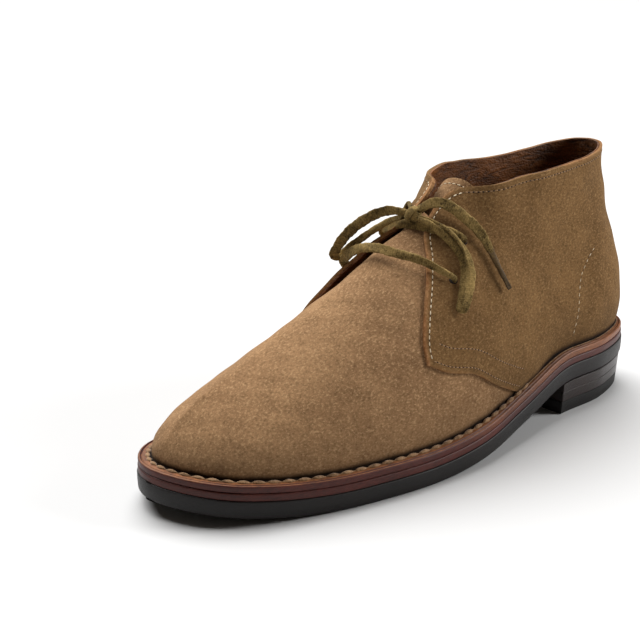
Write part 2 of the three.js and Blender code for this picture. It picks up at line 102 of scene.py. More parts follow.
# %% Smooth curves
def smooth(keys, values, at):
    """The value at a place on a smooth curve through a table's keys and values."""
    keys = np.asarray(keys, float)
    values = np.asarray(values, float)
    at = np.asarray(at, float)
    i = np.clip(np.searchsorted(keys, at, side="right") - 1, 0, len(keys) - 2)
    step = np.diff(keys)
    rate = np.diff(values) / step
    slope = np.concatenate([
        rate[:1],
        (rate[:-1] * step[1:] + rate[1:] * step[:-1]) / (step[1:] + step[:-1]),
        rate[-1:],
    ])
    s = (at - keys[i]) / step[i]
    a, b = values[i], values[i + 1]
    m, n = slope[i] * step[i], slope[i + 1] * step[i]
    return a + m * s + (3 * (b - a) - 2 * m - n) * s ** 2 + (2 * (a - b) + m + n) * s ** 3


def ease(value):
    s = np.clip(value, 0, 1)
    return s * s * (3 - 2 * s)


def unit(vectors):
    return vectors / np.maximum(np.linalg.norm(vectors, axis=-1, keepdims=True), 1e-12)


def run_of(points):
    """Distance run along a line of points, from its first one."""
    steps = np.linalg.norm(np.diff(points, axis=0), axis=1)
    return np.concatenate([[0], np.cumsum(steps)])


def read_rows(at, keys, rows):
    """Rows of a table, read straight between its keys."""
    return np.stack([np.interp(at, keys, rows[:, k]) for k in range(rows.shape[1])], axis=-1)


def trace(points, count):
    """Points evenly spaced on a smooth curve through the given ones."""
    points = np.asarray(points, float)
    run = run_of(points)
    fine = np.linspace(0, run[-1], 40 * len(points))
    dense = np.stack([smooth(run, points[:, k], fine) for k in range(points.shape[1])], axis=1)
    length = run_of(dense)
    return read_rows(np.linspace(0, length[-1], count), length, dense)


print("a quarter of the way, the soft step is at", ease(0.25))


# %% [markdown]
# ### Selecting and reading a piece
# Blender's operators act on all that is selected, so each tool here first clears the selection.
# The places of a mesh's points are read and set in one go, which is far quicker than one by one.

# %% Selection and points
def deselect():
    if bpy.context.object and bpy.context.object.mode != "OBJECT":
        bpy.ops.object.mode_set(mode="OBJECT")
    bpy.ops.object.select_all(action="DESELECT")


def pick(piece):
    deselect()
    piece.select_set(True)
    bpy.context.view_layer.objects.active = piece


def apply_all(piece):
    pick(piece)
    for modifier in list(piece.modifiers):
        bpy.ops.object.modifier_apply(modifier=modifier.name)


def report(piece):
    print(piece.name, len(piece.data.polygons), "faces")


def points_of(piece):
    flat = np.empty(len(piece.data.vertices) * 3)
    piece.data.vertices.foreach_get("co", flat)
    return flat.reshape(-1, 3)


deselect()
print("selected now", len(bpy.context.selected_objects))


# %% [markdown]
# ## The last
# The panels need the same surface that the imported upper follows. It is drawn by ribs: each starts
# on the welt, swells over it and ends on the collar or on the ridge of the instep. `way` runs
# along the sole edge from the heel back (0) to the toe tip (1) and `rise` from the welt (0) to
# the rib's end (1). `side` is +1 for the outer side and -1 for the inner one. The sole edge comes
# first: a closed curve through measured points, in metres along from the heel's back and across.

# %% The sole edge
OUTER_EDGE = [  # along, across
    (0.0, 0.0), (0.009, 0.0225), (0.038, 0.0363), (0.075, 0.0392), (0.115, 0.0472),
    (0.150, 0.0542), (0.188, 0.0540), (0.215, 0.0504), (0.240, 0.0449), (0.265, 0.0364),
    (0.285, 0.0246), (0.2975, 0.008),
]
INNER_EDGE = [
    (0.302, -0.009), (0.298, -0.0225), (0.285, -0.0368), (0.265, -0.0460), (0.240, -0.0498),
    (0.215, -0.0486), (0.188, -0.0420), (0.150, -0.0318), (0.115, -0.0275), (0.075, -0.0305),
    (0.038, -0.0343), (0.009, -0.0215),
]


def closed_curve(rows, fine=40):
    """Centripetal curve through a closed ring of points."""
    rows = np.asarray(rows, float)
    made = []
    for i in range(len(rows)):
        p, q, r, s = (rows[(i + k) % len(rows)] for k in (-1, 0, 1, 2))
        a, b, c = (math.sqrt(np.linalg.norm(v)) for v in (q - p, r - q, s - r))
        m = ((q - p) / a - (r - p) / (a + b) + (r - q) / b) * b
        n = ((r - q) / b - (s - q) / (b + c) + (s - r) / c) * b
        t = np.linspace(0, 1, fine, endpoint=False)[:, None]
        made.append(q + m * t + (3 * (r - q) - 2 * m - n) * t ** 2 + (2 * (q - r) + m + n) * t ** 3)
    return np.concatenate(made)


ring = closed_curve(OUTER_EDGE + INNER_EDGE)
tip = 40 * len(OUTER_EDGE)
HALF_EDGES = {}
for side, half in ((1, ring[:tip + 1]), (-1, np.vstack([ring[tip:], ring[:1]])[::-1])):
    run = run_of(half)
    HALF_EDGES[side] = (run / run[-1], half)
    print("half edge", side, "length", round(run[-1], 4))


def past_ends(side, way):
    """A way past the heel or the toe goes on along the other side."""
    side = np.where((way < 0) | (way > 1), -side, side)
    return side, np.where(way < 0, -way, np.where(way > 1, 2 - way, way))


def edge_point(side, way):
    side, way = np.broadcast_arrays(np.asarray(side, float), np.asarray(way, float))
    side, way = past_ends(side, way)
    outer, inner = (read_rows(way, *HALF_EDGES[k]) for k in (1, -1))
    return np.where(side[..., None] > 0, outer, inner)


def edge_out(side, way, reach=0.01):
    """Direction straight out of the sole edge, seen from above."""
    d = unit(edge_point(side, way + reach) - edge_point(side, way - reach))
    side = np.broadcast_to(side, d.shape[:-1])
    return np.stack([-d[..., 1], d[..., 0]], axis=-1) * np.asarray(side, float)[..., None]


def inset_edge(side, way, inset):
    return edge_point(side, way) - edge_out(side, way) * np.asarray(inset)[..., None]


# %% [markdown]
# ### The underside
# A sole is flat only under the ball of the foot. Behind it the waist climbs to the heel, and in
# front the toe springs up a little, so that the boot rolls when one walks. One function gives
# that height, and welt, middle sole and outsole all follow it.

# %% Thicknesses and underside
HEEL_RISE = 0.018
BREAST = 0.074                 # heel breast, distance along from the heel back
FLAT_START, FLAT_END = 0.1866, 0.225      # the stretch that stands on the floor
TOE_SPRING = 0.0076
WAIST_BEND = 0.1               # share of the climb over which it levels out on the heel
OUTSOLE, MIDSOLE, WELT = 0.0086, 0.0034, 0.0033
GAP = 0.0003
WELT_LOW = OUTSOLE + MIDSOLE + 2 * GAP
WELT_TOP = WELT_LOW + WELT


def underside(along):
    beyond = np.maximum((along - FLAT_END) / (LENGTH - FLAT_END), 0)
    climb = np.clip((FLAT_START - along) / (FLAT_START - BREAST), 0, 1 + WAIST_BEND)
    climb = climb - np.maximum(climb - 1 + WAIST_BEND, 0) ** 2 / (4 * WAIST_BEND)
    return TOE_SPRING * beyond ** 1.8 + HEEL_RISE * climb ** 1.62


print("underside at toe and breast", underside(np.array([LENGTH, BREAST])).round(4))


# %% [markdown]
# ### The ribs
# A shoemaker's last is shaped by its cross sections. Each row of this table is one rib: where it
# starts inside the sole edge, where it ends, and how far it swells on the outer and on the inner
# side. `shaft` is 1 where the rib stands up like the boot's leg, and 0 where it arches over the
# foot.

# %% The ribs
RIBS = np.array([  # way, margin, along, outer, inner, outer top, inner top, bulges, shaft
    (0.00, 0.0046, 0.0155, 0.0, 0.0, 0.1308, 0.1308, 0.0045, 0.0045, 1),
    (0.05, 0.0048, 0.0180, 0.0074, -0.0090, 0.1308, 0.1298, 0.0042, 0.0042, 1),
    (0.10, 0.0052, 0.0245, 0.0135, -0.0155, 0.1301, 0.1282, 0.0038, 0.0038, 1),
    (0.20, 0.0058, 0.0420, 0.0205, -0.0215, 0.1289, 0.1256, 0.0030, 0.0035, 1),
    (0.30, 0.0062, 0.0640, 0.0240, -0.0248, 0.1284, 0.1242, 0.0015, 0.0050, 1),
    (0.40, 0.0068, 0.0910, 0.0246, -0.0245, 0.1277, 0.1262, 0, 0.0080, 0.95),
    (0.46, 0.0073, 0.1120, 0.0185, -0.0180, 0.1264, 0.1280, 0, 0.0080, 0.7),
    (0.50, 0.0076, 0.1230, 0.0, 0.0, 0.1270, 0.1270, 0, 0.0075, 0.3),
    (0.56, 0.0078, 0.1410, -0.001, -0.001, 0.1095, 0.1095, 0, 0.0060, 0.1),
    (0.62, 0.0080, 0.1610, -0.002, -0.002, 0.0988, 0.0988, 0.0005, 0.0040, 0),
    (0.70, 0.0080, 0.1900, -0.003, -0.003, 0.0835, 0.0835, 0.0010, 0.0030, 0),
    (0.80, 0.0080, 0.2210, -0.005, -0.005, 0.0683, 0.0683, 0.0010, 0.0020, 0),
    (0.90, 0.0082, 0.2500, -0.007, -0.007, 0.0558, 0.0558, 0.0010, 0.0015, 0),
    (0.95, 0.0084, 0.2625, -0.008, -0.008, 0.0509, 0.0509, 0.0010, 0.0010, 0),
    (1.00, 0.0086, 0.2720, -0.009, -0.009, 0.0470, 0.0470, 0.0010, 0.0010, 0),
])
RIDGE_START = 0.5


def roof_line(along):
    """Height of the ridge of the instep and toe."""
    ridge = RIBS[RIBS[:, 0] >= RIDGE_START]
    keys, tops = ridge[:, 2], ridge[:, 5]
    first = (tops[1] - tops[0]) / (keys[1] - keys[0])
    last = (tops[-1] - tops[-2]) / (keys[-1] - keys[-2])
    inside = smooth(keys, tops, np.clip(along, keys[0], keys[-1]))
    return inside + np.minimum(along - keys[0], 0) * first + np.maximum(along - keys[-1], 0) * last


def rib(column, way):
    return smooth(RIBS[:, 0], RIBS[:, column], way)


def in_frame(along, across, height):
    """A point of the last, in the boot's frame."""
    return np.stack(np.broadcast_arrays(across + CENTRE_SHIFT, HALF - along, height), axis=-1)


print("ribs", len(RIBS), "tallest", RIBS[:, 5:7].max())


# %% [markdown]
# ### A point of the last
# `last_point` turns a way and a rise into a place. The leg's ribs go up evenly, the foot's ribs
# turn over like a quarter of an ellipse, and between the two the rule is blended. `last_out`
# gives the direction straight out of the surface, along which leather is laid on.

# %% Places on the last
def last_point(side, way, rise):
    side, way, rise = np.broadcast_arrays(*(np.asarray(v, float) for v in (side, way, rise)))
    over_ridge = (rise > 1) & (way >= RIDGE_START)
    side = np.where(over_ridge, -side, side)
    rise = np.clip(np.where(over_ridge, 2 - rise, rise), 0, 1)
    side, way = past_ends(side, way)
    outer = side > 0
    foot = inset_edge(side, way, rib(1, way))
    out = edge_out(side, way)
    base = underside(foot[..., 0]) + WELT_TOP + 3 * GAP
    shaft = np.clip(rib(9, way), 0, 1)
    blunt = ease((way - 0.82) / 0.18)
    across_power = np.where(outer, 1.05, 1.25) * (1 - blunt) + 1.1 * blunt
    up_power = np.where(outer, 1.0, 1.1) * (1 - blunt) + blunt
    angle = rise * math.pi / 2
    over = 1 - np.maximum(np.cos(angle), 0) ** across_power
    reach = 0.85 + 0.15 * ease((way - 0.3) / 0.16)
    across = (1 - shaft) * over + shaft * ease(rise / reach)
    climb = (1 - shaft) * np.sin(angle) ** up_power + shaft * rise
    tilt = (1 - shaft) * ease((way - 0.44) / 0.12)
    swell = np.where(outer, rib(7, way), rib(8, way)) * 6.75 * rise * (1 - rise) ** 2
    along = foot[..., 0] + (rib(2, way) - foot[..., 0]) * across + out[..., 0] * swell
    x = foot[..., 1] + (np.where(outer, rib(3, way), rib(4, way)) - foot[..., 1]) * across
    x = x + out[..., 1] * swell
    top = np.where(outer, rib(5, way), rib(6, way))
    top = top + tilt * (roof_line(along) - roof_line(rib(2, way)))
    return in_frame(along, x, base + (top - base) * climb)


def last_out(side, way, rise, step=0.004):
    """Direction straight out of the last's surface."""
    rise = np.asarray(rise, float)
    # at the toe the ribs meet, so the direction is read just below their common end
    rise = np.where(np.asarray(way) > 0.97, np.minimum(rise, 1 - 3 * step), rise)
    high = np.where((rise + step > 1) & (np.asarray(way) < RIDGE_START), rise, rise + step)
    low = np.maximum(rise - step, 0)
    along = last_point(side, way + step, rise) - last_point(side, way - step, rise)
    upward = last_point(side, way, high) - last_point(side, way, low)
    return unit(np.cross(along, upward)) * -np.asarray(side, float)[..., None]


print("instep top", [round(float(v), 4) for v in last_point(1, 0.56, 1.0)])


# %% [markdown]
# ## Laces
# One flat waxed lace crosses two pairs of punched holes and ends in a bow. A round tube would
# look like string, so each run is a flat section carried along its route. The routes are given
# as lists and repeat those of the imported model: two bars over the throat, two loops and two free
# ends.

# %% Lace routes: along, across, height
LACE_WIDTH = 0.0048
LACE_THICK = 0.0016
LOWER_BAR = [
    (0.1495, 0.0300, 0.0895), (0.1552, 0.0268, 0.0924), (0.1607, 0.0204, 0.0966),
    (0.1650, 0.0149, 0.0986), (0.1680, 0.0090, 0.0996), (0.1705, -0.0006, 0.1004),
    (0.1715, -0.0100, 0.0988), (0.1715, -0.0185, 0.0940), (0.1680, -0.0265, 0.0870),
]
UPPER_BAR = [
    (0.1365, 0.0230, 0.1040), (0.1405, 0.0195, 0.1070), (0.1448, 0.0130, 0.1074),
    (0.1470, 0.0060, 0.1080), (0.1485, 0.0000, 0.1082), (0.1490, -0.0070, 0.1072),
    (0.1490, -0.0140, 0.1044), (0.1475, -0.0205, 0.1000),
]
INNER_LOOP = [
    (0.1482, -0.0008, 0.1132), (0.1505, -0.0052, 0.1138), (0.1530, -0.0095, 0.1140),
    (0.1565, -0.0140, 0.1126), (0.1615, -0.0180, 0.1094), (0.1665, -0.0210, 0.1056),
    (0.1705, -0.0235, 0.1012), (0.1730, -0.0260, 0.0958), (0.1732, -0.0280, 0.0912),
    (0.1702, -0.0275, 0.0906), (0.1664, -0.0246, 0.0946), (0.1614, -0.0202, 0.0998),
    (0.1560, -0.0152, 0.1050), (0.1520, -0.0098, 0.1090), (0.1495, -0.0040, 0.1112),
]
OUTER_LOOP = [
    (0.1478, 0.0012, 0.1128), (0.1473, 0.0068, 0.1128), (0.1460, 0.0125, 0.1118),
    (0.1439, 0.0195, 0.1090), (0.1413, 0.0255, 0.1034), (0.1405, 0.0306, 0.0964),
    (0.1421, 0.0342, 0.0900), (0.1460, 0.0372, 0.0840), (0.1500, 0.0394, 0.0788),
    (0.1522, 0.0398, 0.0756), (0.1524, 0.0380, 0.0754), (0.1504, 0.0364, 0.0784),
    (0.1464, 0.0340, 0.0836), (0.1426, 0.0310, 0.0896), (0.1412, 0.0274, 0.0954),
    (0.1422, 0.0234, 0.1008), (0.1454, 0.0182, 0.1064), (0.1478, 0.0116, 0.1106),
    (0.1482, 0.0050, 0.1118),
]
OUTER_END = [
    (0.1466, 0.0004, 0.1146), (0.1446, 0.0034, 0.1164), (0.1425, 0.0072, 0.1188),
    (0.1392, 0.0119, 0.1192), (0.1363, 0.0165, 0.1170), (0.1333, 0.0209, 0.1130),
    (0.1300, 0.0249, 0.1084), (0.1274, 0.0286, 0.1028), (0.1253, 0.0316, 0.0962),
]
INNER_END = [
    (0.1466, -0.0006, 0.1144), (0.1446, -0.0034, 0.1160), (0.1416, -0.0074, 0.1174),
    (0.1386, -0.0114, 0.1156), (0.1364, -0.0156, 0.1108), (0.1354, -0.0196, 0.1046),
    (0.1352, -0.0236, 0.0980), (0.1356, -0.0270, 0.0914), (0.1362, -0.0300, 0.0850),
]
print("points in the outer loop", len(OUTER_LOOP))


# %% [markdown]
# ### Where the lace goes through the leather
# Each side has two punched holes. A bar starts below the leather at one hole, comes up through
# it, crosses the throat and goes down at the other side, so both ends of its route are taken from
# the holes themselves. If a hole moves, the lace moves with it.

# %% Holes and bars
EYELETS = {  # way, rise: the upper hole, then the lower one
    1: [(0.495, 0.650), (0.518, 0.538)],
    -1: [(0.527, 0.660), (0.553, 0.560)],
}


def hole(side, row, depth):
    """A place on a hole's line, depth metres under the last, as along, across, height."""
    way, rise = EYELETS[side][row]
    p = last_point(side, way, rise) - last_out(side, way, rise) * depth
    return (HALF - p[1], p[0] - CENTRE_SHIFT, p[2])


LOWER_BAR = [hole(1, 1, 0.0020), hole(1, 1, -0.0032)] + LOWER_BAR[1:] + [hole(-1, 1, 0.0)]
UPPER_BAR = [hole(1, 0, 0.0020), hole(1, 0, -0.0034)] + UPPER_BAR[1:] + [hole(-1, 0, 0.0)]
apart = np.linalg.norm(np.subtract(hole(1, 0, 0), hole(1, 1, 0)))
print("the outer holes are", round(float(apart), 4), "apart")


# %% [markdown]
# ### A grid laid in place
# Leather starts as a flat sheet, and so does nearly every piece here: a grid primitive, whose
# points are then carried to their places by a rule. Rows of faces follow the piece, which keeps
# edges crisp and lets a later modifier give thickness. Pulling each face out by hand could never
# follow the last.

# %% Grid primitives
def laid(name, count_a, count_b, place, flip=False, merge=False):
    """A grid primitive whose points are put where place(a, b) says, a and b going 0 to 1."""
    deselect()
    bpy.ops.mesh.primitive_grid_add(x_subdivisions=count_a, y_subdivisions=count_b, size=1)
    piece = bpy.context.object
    piece.name = name
    piece.data.name = name
    flat = points_of(piece)
    a, b = (np.clip(flat[:, k] + 0.5, 0, 1).round(6) for k in (0, 1))
    piece.data.vertices.foreach_set("co", place(a, b).ravel())
    bpy.ops.object.mode_set(mode="EDIT")
    bpy.ops.mesh.select_all(action="SELECT")
    if merge:
        bpy.ops.mesh.remove_doubles(threshold=0.000002)
    if flip:
        bpy.ops.mesh.flip_normals()
    bpy.ops.object.mode_set(mode="OBJECT")
    bpy.ops.object.shade_smooth()
    return piece


def finish_piece(piece, slot_name, *paints):
    """Give a finished piece its materials and its body. slot_name is not used."""
    piece.data.materials.clear()
    for paint in paints:
        piece.data.materials.append(paint)
    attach(piece, "root")
    report(piece)
    return piece


# %% [markdown]
# ### A flat section along a route
# The section is an oval pressed flat. It is carried along the route by three directions: forward,
# broad and thin. The broad face is turned about the run by a few angles per route, because a real
# bow shows now its face and now its edge. A curve with a bevel would be quicker, but its twist
# can't be led so freely.

# %% Flat lace
LACE_ROUND = 16                # points round the section
ROUTE_STEP = 0.0008            # distance between two sections
OVAL = 0.62                    # below 1 the oval fills out into a flat band
SHOWN = np.array([0.70, -0.60, 0.39])     # the bow's broad faces look roughly this way


def route_points(rows):
    rows = np.array([in_frame(*row) for row in rows])
    return trace(rows, int(run_of(rows)[-1] / ROUTE_STEP))


def flat_oval(b):
    """Sideways and upward share of a flattened oval, b turns round it."""
    c, s = np.cos(2 * np.pi * b), np.sin(2 * np.pi * b)
    return np.sign(c) * np.abs(c) ** OVAL, np.sign(s) * np.abs(s) ** OVAL


def station(a, last):
    """Which point of a path a row stands on, and 0 for the two rows that close its ends."""
    i = np.rint(a * (last + 2)).astype(int) - 1
    size = np.where((i < 0) | (i > last), 0.0, 1.0)[:, None]
    return np.clip(i, 0, last), size


def section_frames(path, twists):
    """Broad and thin direction at each point of a path."""
    tangent = unit(np.gradient(path, axis=0))
    thin = unit(SHOWN - (SHOWN * tangent).sum(1, keepdims=True) * tangent)
    broad = np.cross(tangent, thin)
    turn = np.radians(np.interp(
        np.linspace(0, 1, len(path)), np.linspace(0, 1, len(twists)), twists))[:, None]
    return (
        broad * np.cos(turn) + thin * np.sin(turn),
        thin * np.cos(turn) - broad * np.sin(turn),
    )


def flat_lace(name, path, twists, widths=(1, 1), thick=LACE_THICK):
    """A closed flat-oval rope along a path. widths are shares of the full width along it."""
    broad, thin = section_frames(path, twists)
    run = run_of(path)
    count = len(path) - 1
    share = np.interp(run / run[-1], np.linspace(0, 1, len(widths)), widths)
    wobble = 1 + 0.05 * np.sin(run * 900 + len(path)) + 0.04 * np.sin(run * 2300)
    width = LACE_WIDTH * share * wobble
    fold = 0.00028 * np.sin(run * 260 + len(path))      # the band cups a little, now up, now down

    def place(a, b):
        i, size = station(a, count)
        c, s = flat_oval(b)
        height = s * thick / 2 * (0.8 + 0.2 * share[i]) + fold[i] * (2 * c * c - 1)
        side = broad[i] * (c * width[i] / 2)[:, None] + thin[i] * height[:, None]
        return path[i] + side * size

    piece = laid(name, count + 2, LACE_ROUND, place, merge=True)
    for corner in piece.data.uv_layers[0].data:
        corner.uv[0] *= run[-1]   # so that u counts metres along the lace
    report(piece)
    return piece


print("route of the outer loop", len(route_points(OUTER_LOOP)), "sections")


# %% [markdown]
# ### The bow
# Each row gives a run's route, its twists in degrees and its widths as shares of the full width.
# A lace is pinched where the knot or a hole grips it, so the shares fall there. The inner tail
# leaves from under the knot, and is pulled down close to it.

# %% Runs of lace
INNER_TWISTS = (10, 15, 25, 20, 10, 0, 0, 15, 20)
OUTER_TWISTS = (80, 78, 50, 5, 0, 20, 20, 25, 40)
TUCK = 0.0036                  # the knot holds the inner tail down this far, close to it
TUCK_PLACE, TUCK_REACH = 0.14, 0.13       # where along the tail, and how far to both sides
laces = {}
for name, rows, twists, widths in (
    ("lace_lower_run", LOWER_BAR, (35, 30, 10, -10, -20, 0, 10), (0.5, 0.85, 1, 1, 0.9)),
    ("lace_upper_run", UPPER_BAR, (10, 10, 20, 0, -20, 0), (0.5, 0.9, 1, 0.9)),
    ("lace_inner_bow", INNER_LOOP, INNER_TWISTS, (0.6, 1, 1.15, 1.15, 1, 0.85, 0.75, 0.7, 0.5)),
    ("lace_outer_bow", OUTER_LOOP, OUTER_TWISTS, (0.40, 0.40, 0.55, 1.0, 0.8, 1.0, 0.9, 0.8, 0.6)),
    ("lace_outer_tail", OUTER_END, (25, 10, 0, -5, 0, 10), (0.7, 1.05, 1.1, 1.1, 1, 0.72)),
    ("lace_inner_tail", INNER_END, (75, 60, 30, 10, 0), (0.35, 0.45, 1, 1, 0.55)),
):
    path = route_points(rows)
    if name == "lace_inner_tail":
        run = np.linspace(0, 1, len(path))
        path[:, 2] -= TUCK * np.exp(-((run - TUCK_PLACE) / TUCK_REACH) ** 2)
    laces[name] = (flat_lace(name, path, twists, widths), path)


# %% [markdown]
# ### The tips
# A lace ends in a sleeve of film pressed round it, so that it goes through the holes. Each tip
# goes straight on from its tail, a little narrower all the way, and starts inside the tail's end.

# %% Tips
TIP_LENGTH = 0.020
TIP_THICK = 0.0019
for name, tail in (("lace_tip_a", "lace_outer_tail"), ("lace_tip_b", "lace_inner_tail")):
    end = laces[tail][1]
    heading = unit((end[-1] - end[-4])[None, :])
    path = end[-1] + heading * np.linspace(-0.0015, TIP_LENGTH, 40)[:, None]
    widths = (0.72, 0.60, 0.50, 0.46, 0.42)
    laces[name] = (flat_lace(name, path, (10, 10), widths, TIP_THICK), path)


# %% [markdown]
# ### The knot
# The knot is a lump of crossed strands with one strand wrapped round it. The crossing itself is
# hidden, so a rippled core stands for it, and one band of flat lace goes round that core in a
# little more than a turn. The band leans, as a knot pulled tight by two hands does.

# %% Knot
KNOT = in_frame(0.1476, 0.0004, 0.1128)
KNOT_SIZE = (0.0046, 0.0028, 0.0029)      # half sizes of what the band is wrapped round
KNOT_LEAN = math.radians(28)
BAND_RADIUS, BAND_DRIFT, BAND_TURNS = 0.0035, 0.0009, 1.15
BAND_WIDTH = 0.36              # half the band's width, as a share of the lace's


def knot_ring(count=90):
    """The band's way round the knot."""
    t = np.linspace(0, BAND_TURNS, count) * 2 * math.pi
    x = np.linspace(-BAND_DRIFT, BAND_DRIFT, count) + 0.25 * BAND_RADIUS * np.sin(t)
    y = BAND_RADIUS * 1.02 * np.cos(t)
    z = BAND_RADIUS * 0.96 * np.sin(t)
    lean = math.sin(KNOT_LEAN)
    return KNOT + np.stack([x + lean * z * 0.6, y - lean * x, z], axis=1)


def knot_core(a, b):
    turn, tilt = 2 * math.pi * a, math.pi * b
    ripple = 1 + 0.10 * np.sin(3 * turn + 1) * np.sin(tilt) + 0.06 * np.sin(5 * turn + 2 * tilt)
    return KNOT + np.stack([
        KNOT_SIZE[0] * -np.cos(tilt) * ripple,
        KNOT_SIZE[1] * np.sin(tilt) * np.cos(turn) * ripple,
        KNOT_SIZE[2] * np.sin(tilt) * np.sin(turn) * ripple,
    ], axis=1)


knot = laid("lace_knot_core", 48, 24, knot_core, merge=True)
band_path = knot_ring()
tangent = unit(np.gradient(band_path, axis=0))
away = unit(band_path - KNOT)
band_thin = unit(away - (away * tangent).sum(1, keepdims=True) * tangent)
band_broad = np.cross(tangent, band_thin)


def band_place(a, b):
    i, size = station(a, len(band_path) - 1)
    c, h = flat_oval(b)
    side = band_broad[i] * (c * LACE_WIDTH * BAND_WIDTH)[:, None]
    return band_path[i] + (side + band_thin[i] * (h * LACE_THICK / 2)[:, None]) * size


band = laid("lace_knot_band", len(band_path) + 1, LACE_ROUND, band_place, merge=True)
report(knot)
report(band)


# %% [markdown]
# ## Finishes
# A finish could be wired by hand in the shader editor. Here it is written as arithmetic: `Wire`
# wraps one output of a node, so `0.4 + 0.2 * spots` adds its own Math nodes. Patterns read Object
# coordinates, which are the boot's own metres, or the UV map of a lace, where they follow its
# run.

# %% Wires
class Wire:
    """One output of a material's node, usable in sums and products."""

    def __init__(self, paint, socket):
        self.paint = paint
        self.socket = socket

    def math(self, operation, *values):
        inputs = dict(enumerate(values))
        return self.paint.node("ShaderNodeMath", {"operation": operation}, inputs)

    def __add__(self, other):
        return self.math("ADD", self, other)

    __radd__ = __add__

    def __sub__(self, other):
        return self.math("SUBTRACT", self, other)

    def __rsub__(self, other):
        return self.math("SUBTRACT", other, self)

    def __mul__(self, other):
        return self.math("MULTIPLY", self, other)

    __rmul__ = __mul__

    def sine(self):
        return self.math("SINE", self)

    def between(self, low, high):
        """0 below low, 1 above high, a straight ramp between."""
        inputs = {"Value": self, "From Min": low, "From Max": high}
        return self.paint.node("ShaderNodeMapRange", {"clamp": True}, inputs)


def tone(red, green, blue):
    """A colour given as screen values 0 to 255, turned to the linear values that shaders use."""
    def linear(value):
        v = value / 255
        return v / 12.92 if v <= 0.04045 else ((v + 0.055) / 1.055) ** 2.4
    return (linear(red), linear(green), linear(blue), 1.0)


print("middle grey is", round(tone(128, 128, 128)[0], 3), "in linear values")


# %% [markdown]
# ### A paint
# `Paint` is one material with one Principled shader. Numbers that are the same all over a piece
# are set on the shader's own sockets when it is made. `noise` and `cells` take the size of their
# lumps in metres, because that can be measured on real leather.

# %% Paints
class Paint:
    """A material with one Principled shader; constants are its sockets' own values."""

    def __init__(self, name, **constants):
        self.material = bpy.data.materials.new(name)
        self.material.use_nodes = True
        self.tree = self.material.node_tree
        self.surface = self.tree.nodes["Principled BSDF"]
        for socket, value in constants.items():
            self.surface.inputs[socket.replace("_", " ")].default_value = value

    def put(self, socket, value):
        if isinstance(value, Wire):
            self.tree.links.new(value.socket, socket)
        else:
            socket.default_value = value

    def node(self, kind, settings=None, inputs=None, output=0):
        made = self.tree.nodes.new(kind)
        for key, value in (settings or {}).items():
            setattr(made, key, value)
        for key, value in (inputs or {}).items():
            self.put(made.inputs[key], value)
        return Wire(self, made.outputs[output])

    def place(self, squeeze=(1, 1, 1), turn=(0, 0, 0)):
        """Object coordinates, squeezed and turned for a pattern with a direction."""
        here = self.node("ShaderNodeTexCoord", output="Object")
        inputs = {"Vector": here, "Scale": squeeze, "Rotation": turn}
        return self.node("ShaderNodeMapping", {}, inputs)

    def noise(self, size, detail=2.0, rough=0.5, place=None, swirl=0.0):
        """Smooth noise whose lumps are about size metres across."""
        return self.node("ShaderNodeTexNoise", {}, {
            "Vector": place or self.place(), "Scale": 1 / size, "Detail": detail,
            "Roughness": rough, "Distortion": swirl,
        })

    def cells(self, size):
        inputs = {"Vector": self.place(), "Scale": 1 / size}
        return self.node("ShaderNodeTexVoronoi", {}, inputs)

    def kept(self, name):
        """A number kept per point of the piece."""
        return self.node("ShaderNodeAttribute", {"attribute_name": name}, output="Fac")

    def mix(self, factor, a, b):
        inputs = {0: factor, 6: a, 7: b}
        return self.node("ShaderNodeMix", {"data_type": "RGBA"}, inputs, output=2)

    def color(self, value):
        self.put(self.surface.inputs["Base Color"], value)

    def roughness(self, value):
        self.put(self.surface.inputs["Roughness"], value)

    def relief(self, height, distance, strength):
        """Small unevenness, up to distance metres high."""
        inputs = {"Height": height, "Distance": distance, "Strength": strength}
        self.put(self.surface.inputs["Normal"], self.node("ShaderNodeBump", {}, inputs))


print("materials so far", len(bpy.data.materials))


# %% [markdown]
# ### Suede
# Suede is the flesh side of a hide, sanded to a short nap. It has no gloss. Its colour changes in
# three sizes: broad clouds where the nap lies one way or the other, small patches, and a grain of
# single fibre tufts. A little sheen lightens it where it turns away. Two numbers kept on the
# points change its colour: `worn` at the cut edges, which are rubbed down to the hide's core, and a
# second one low down, which paints shade dark into the crease over the welt and fades upwards, with
# some wax and dust there too. The quarters use a copy of this suede painted darker, as painted
# shade for the side walls, which stand away from the light.

# %% Suede
CUT_EDGE, CUT_PATCH = tone(154, 114, 76), tone(128, 80, 46)
# painted shade for the crease over the welt, mixed with some wax and dust
CREASE_SHADE_AND_SOIL = tone(44, 28, 14)


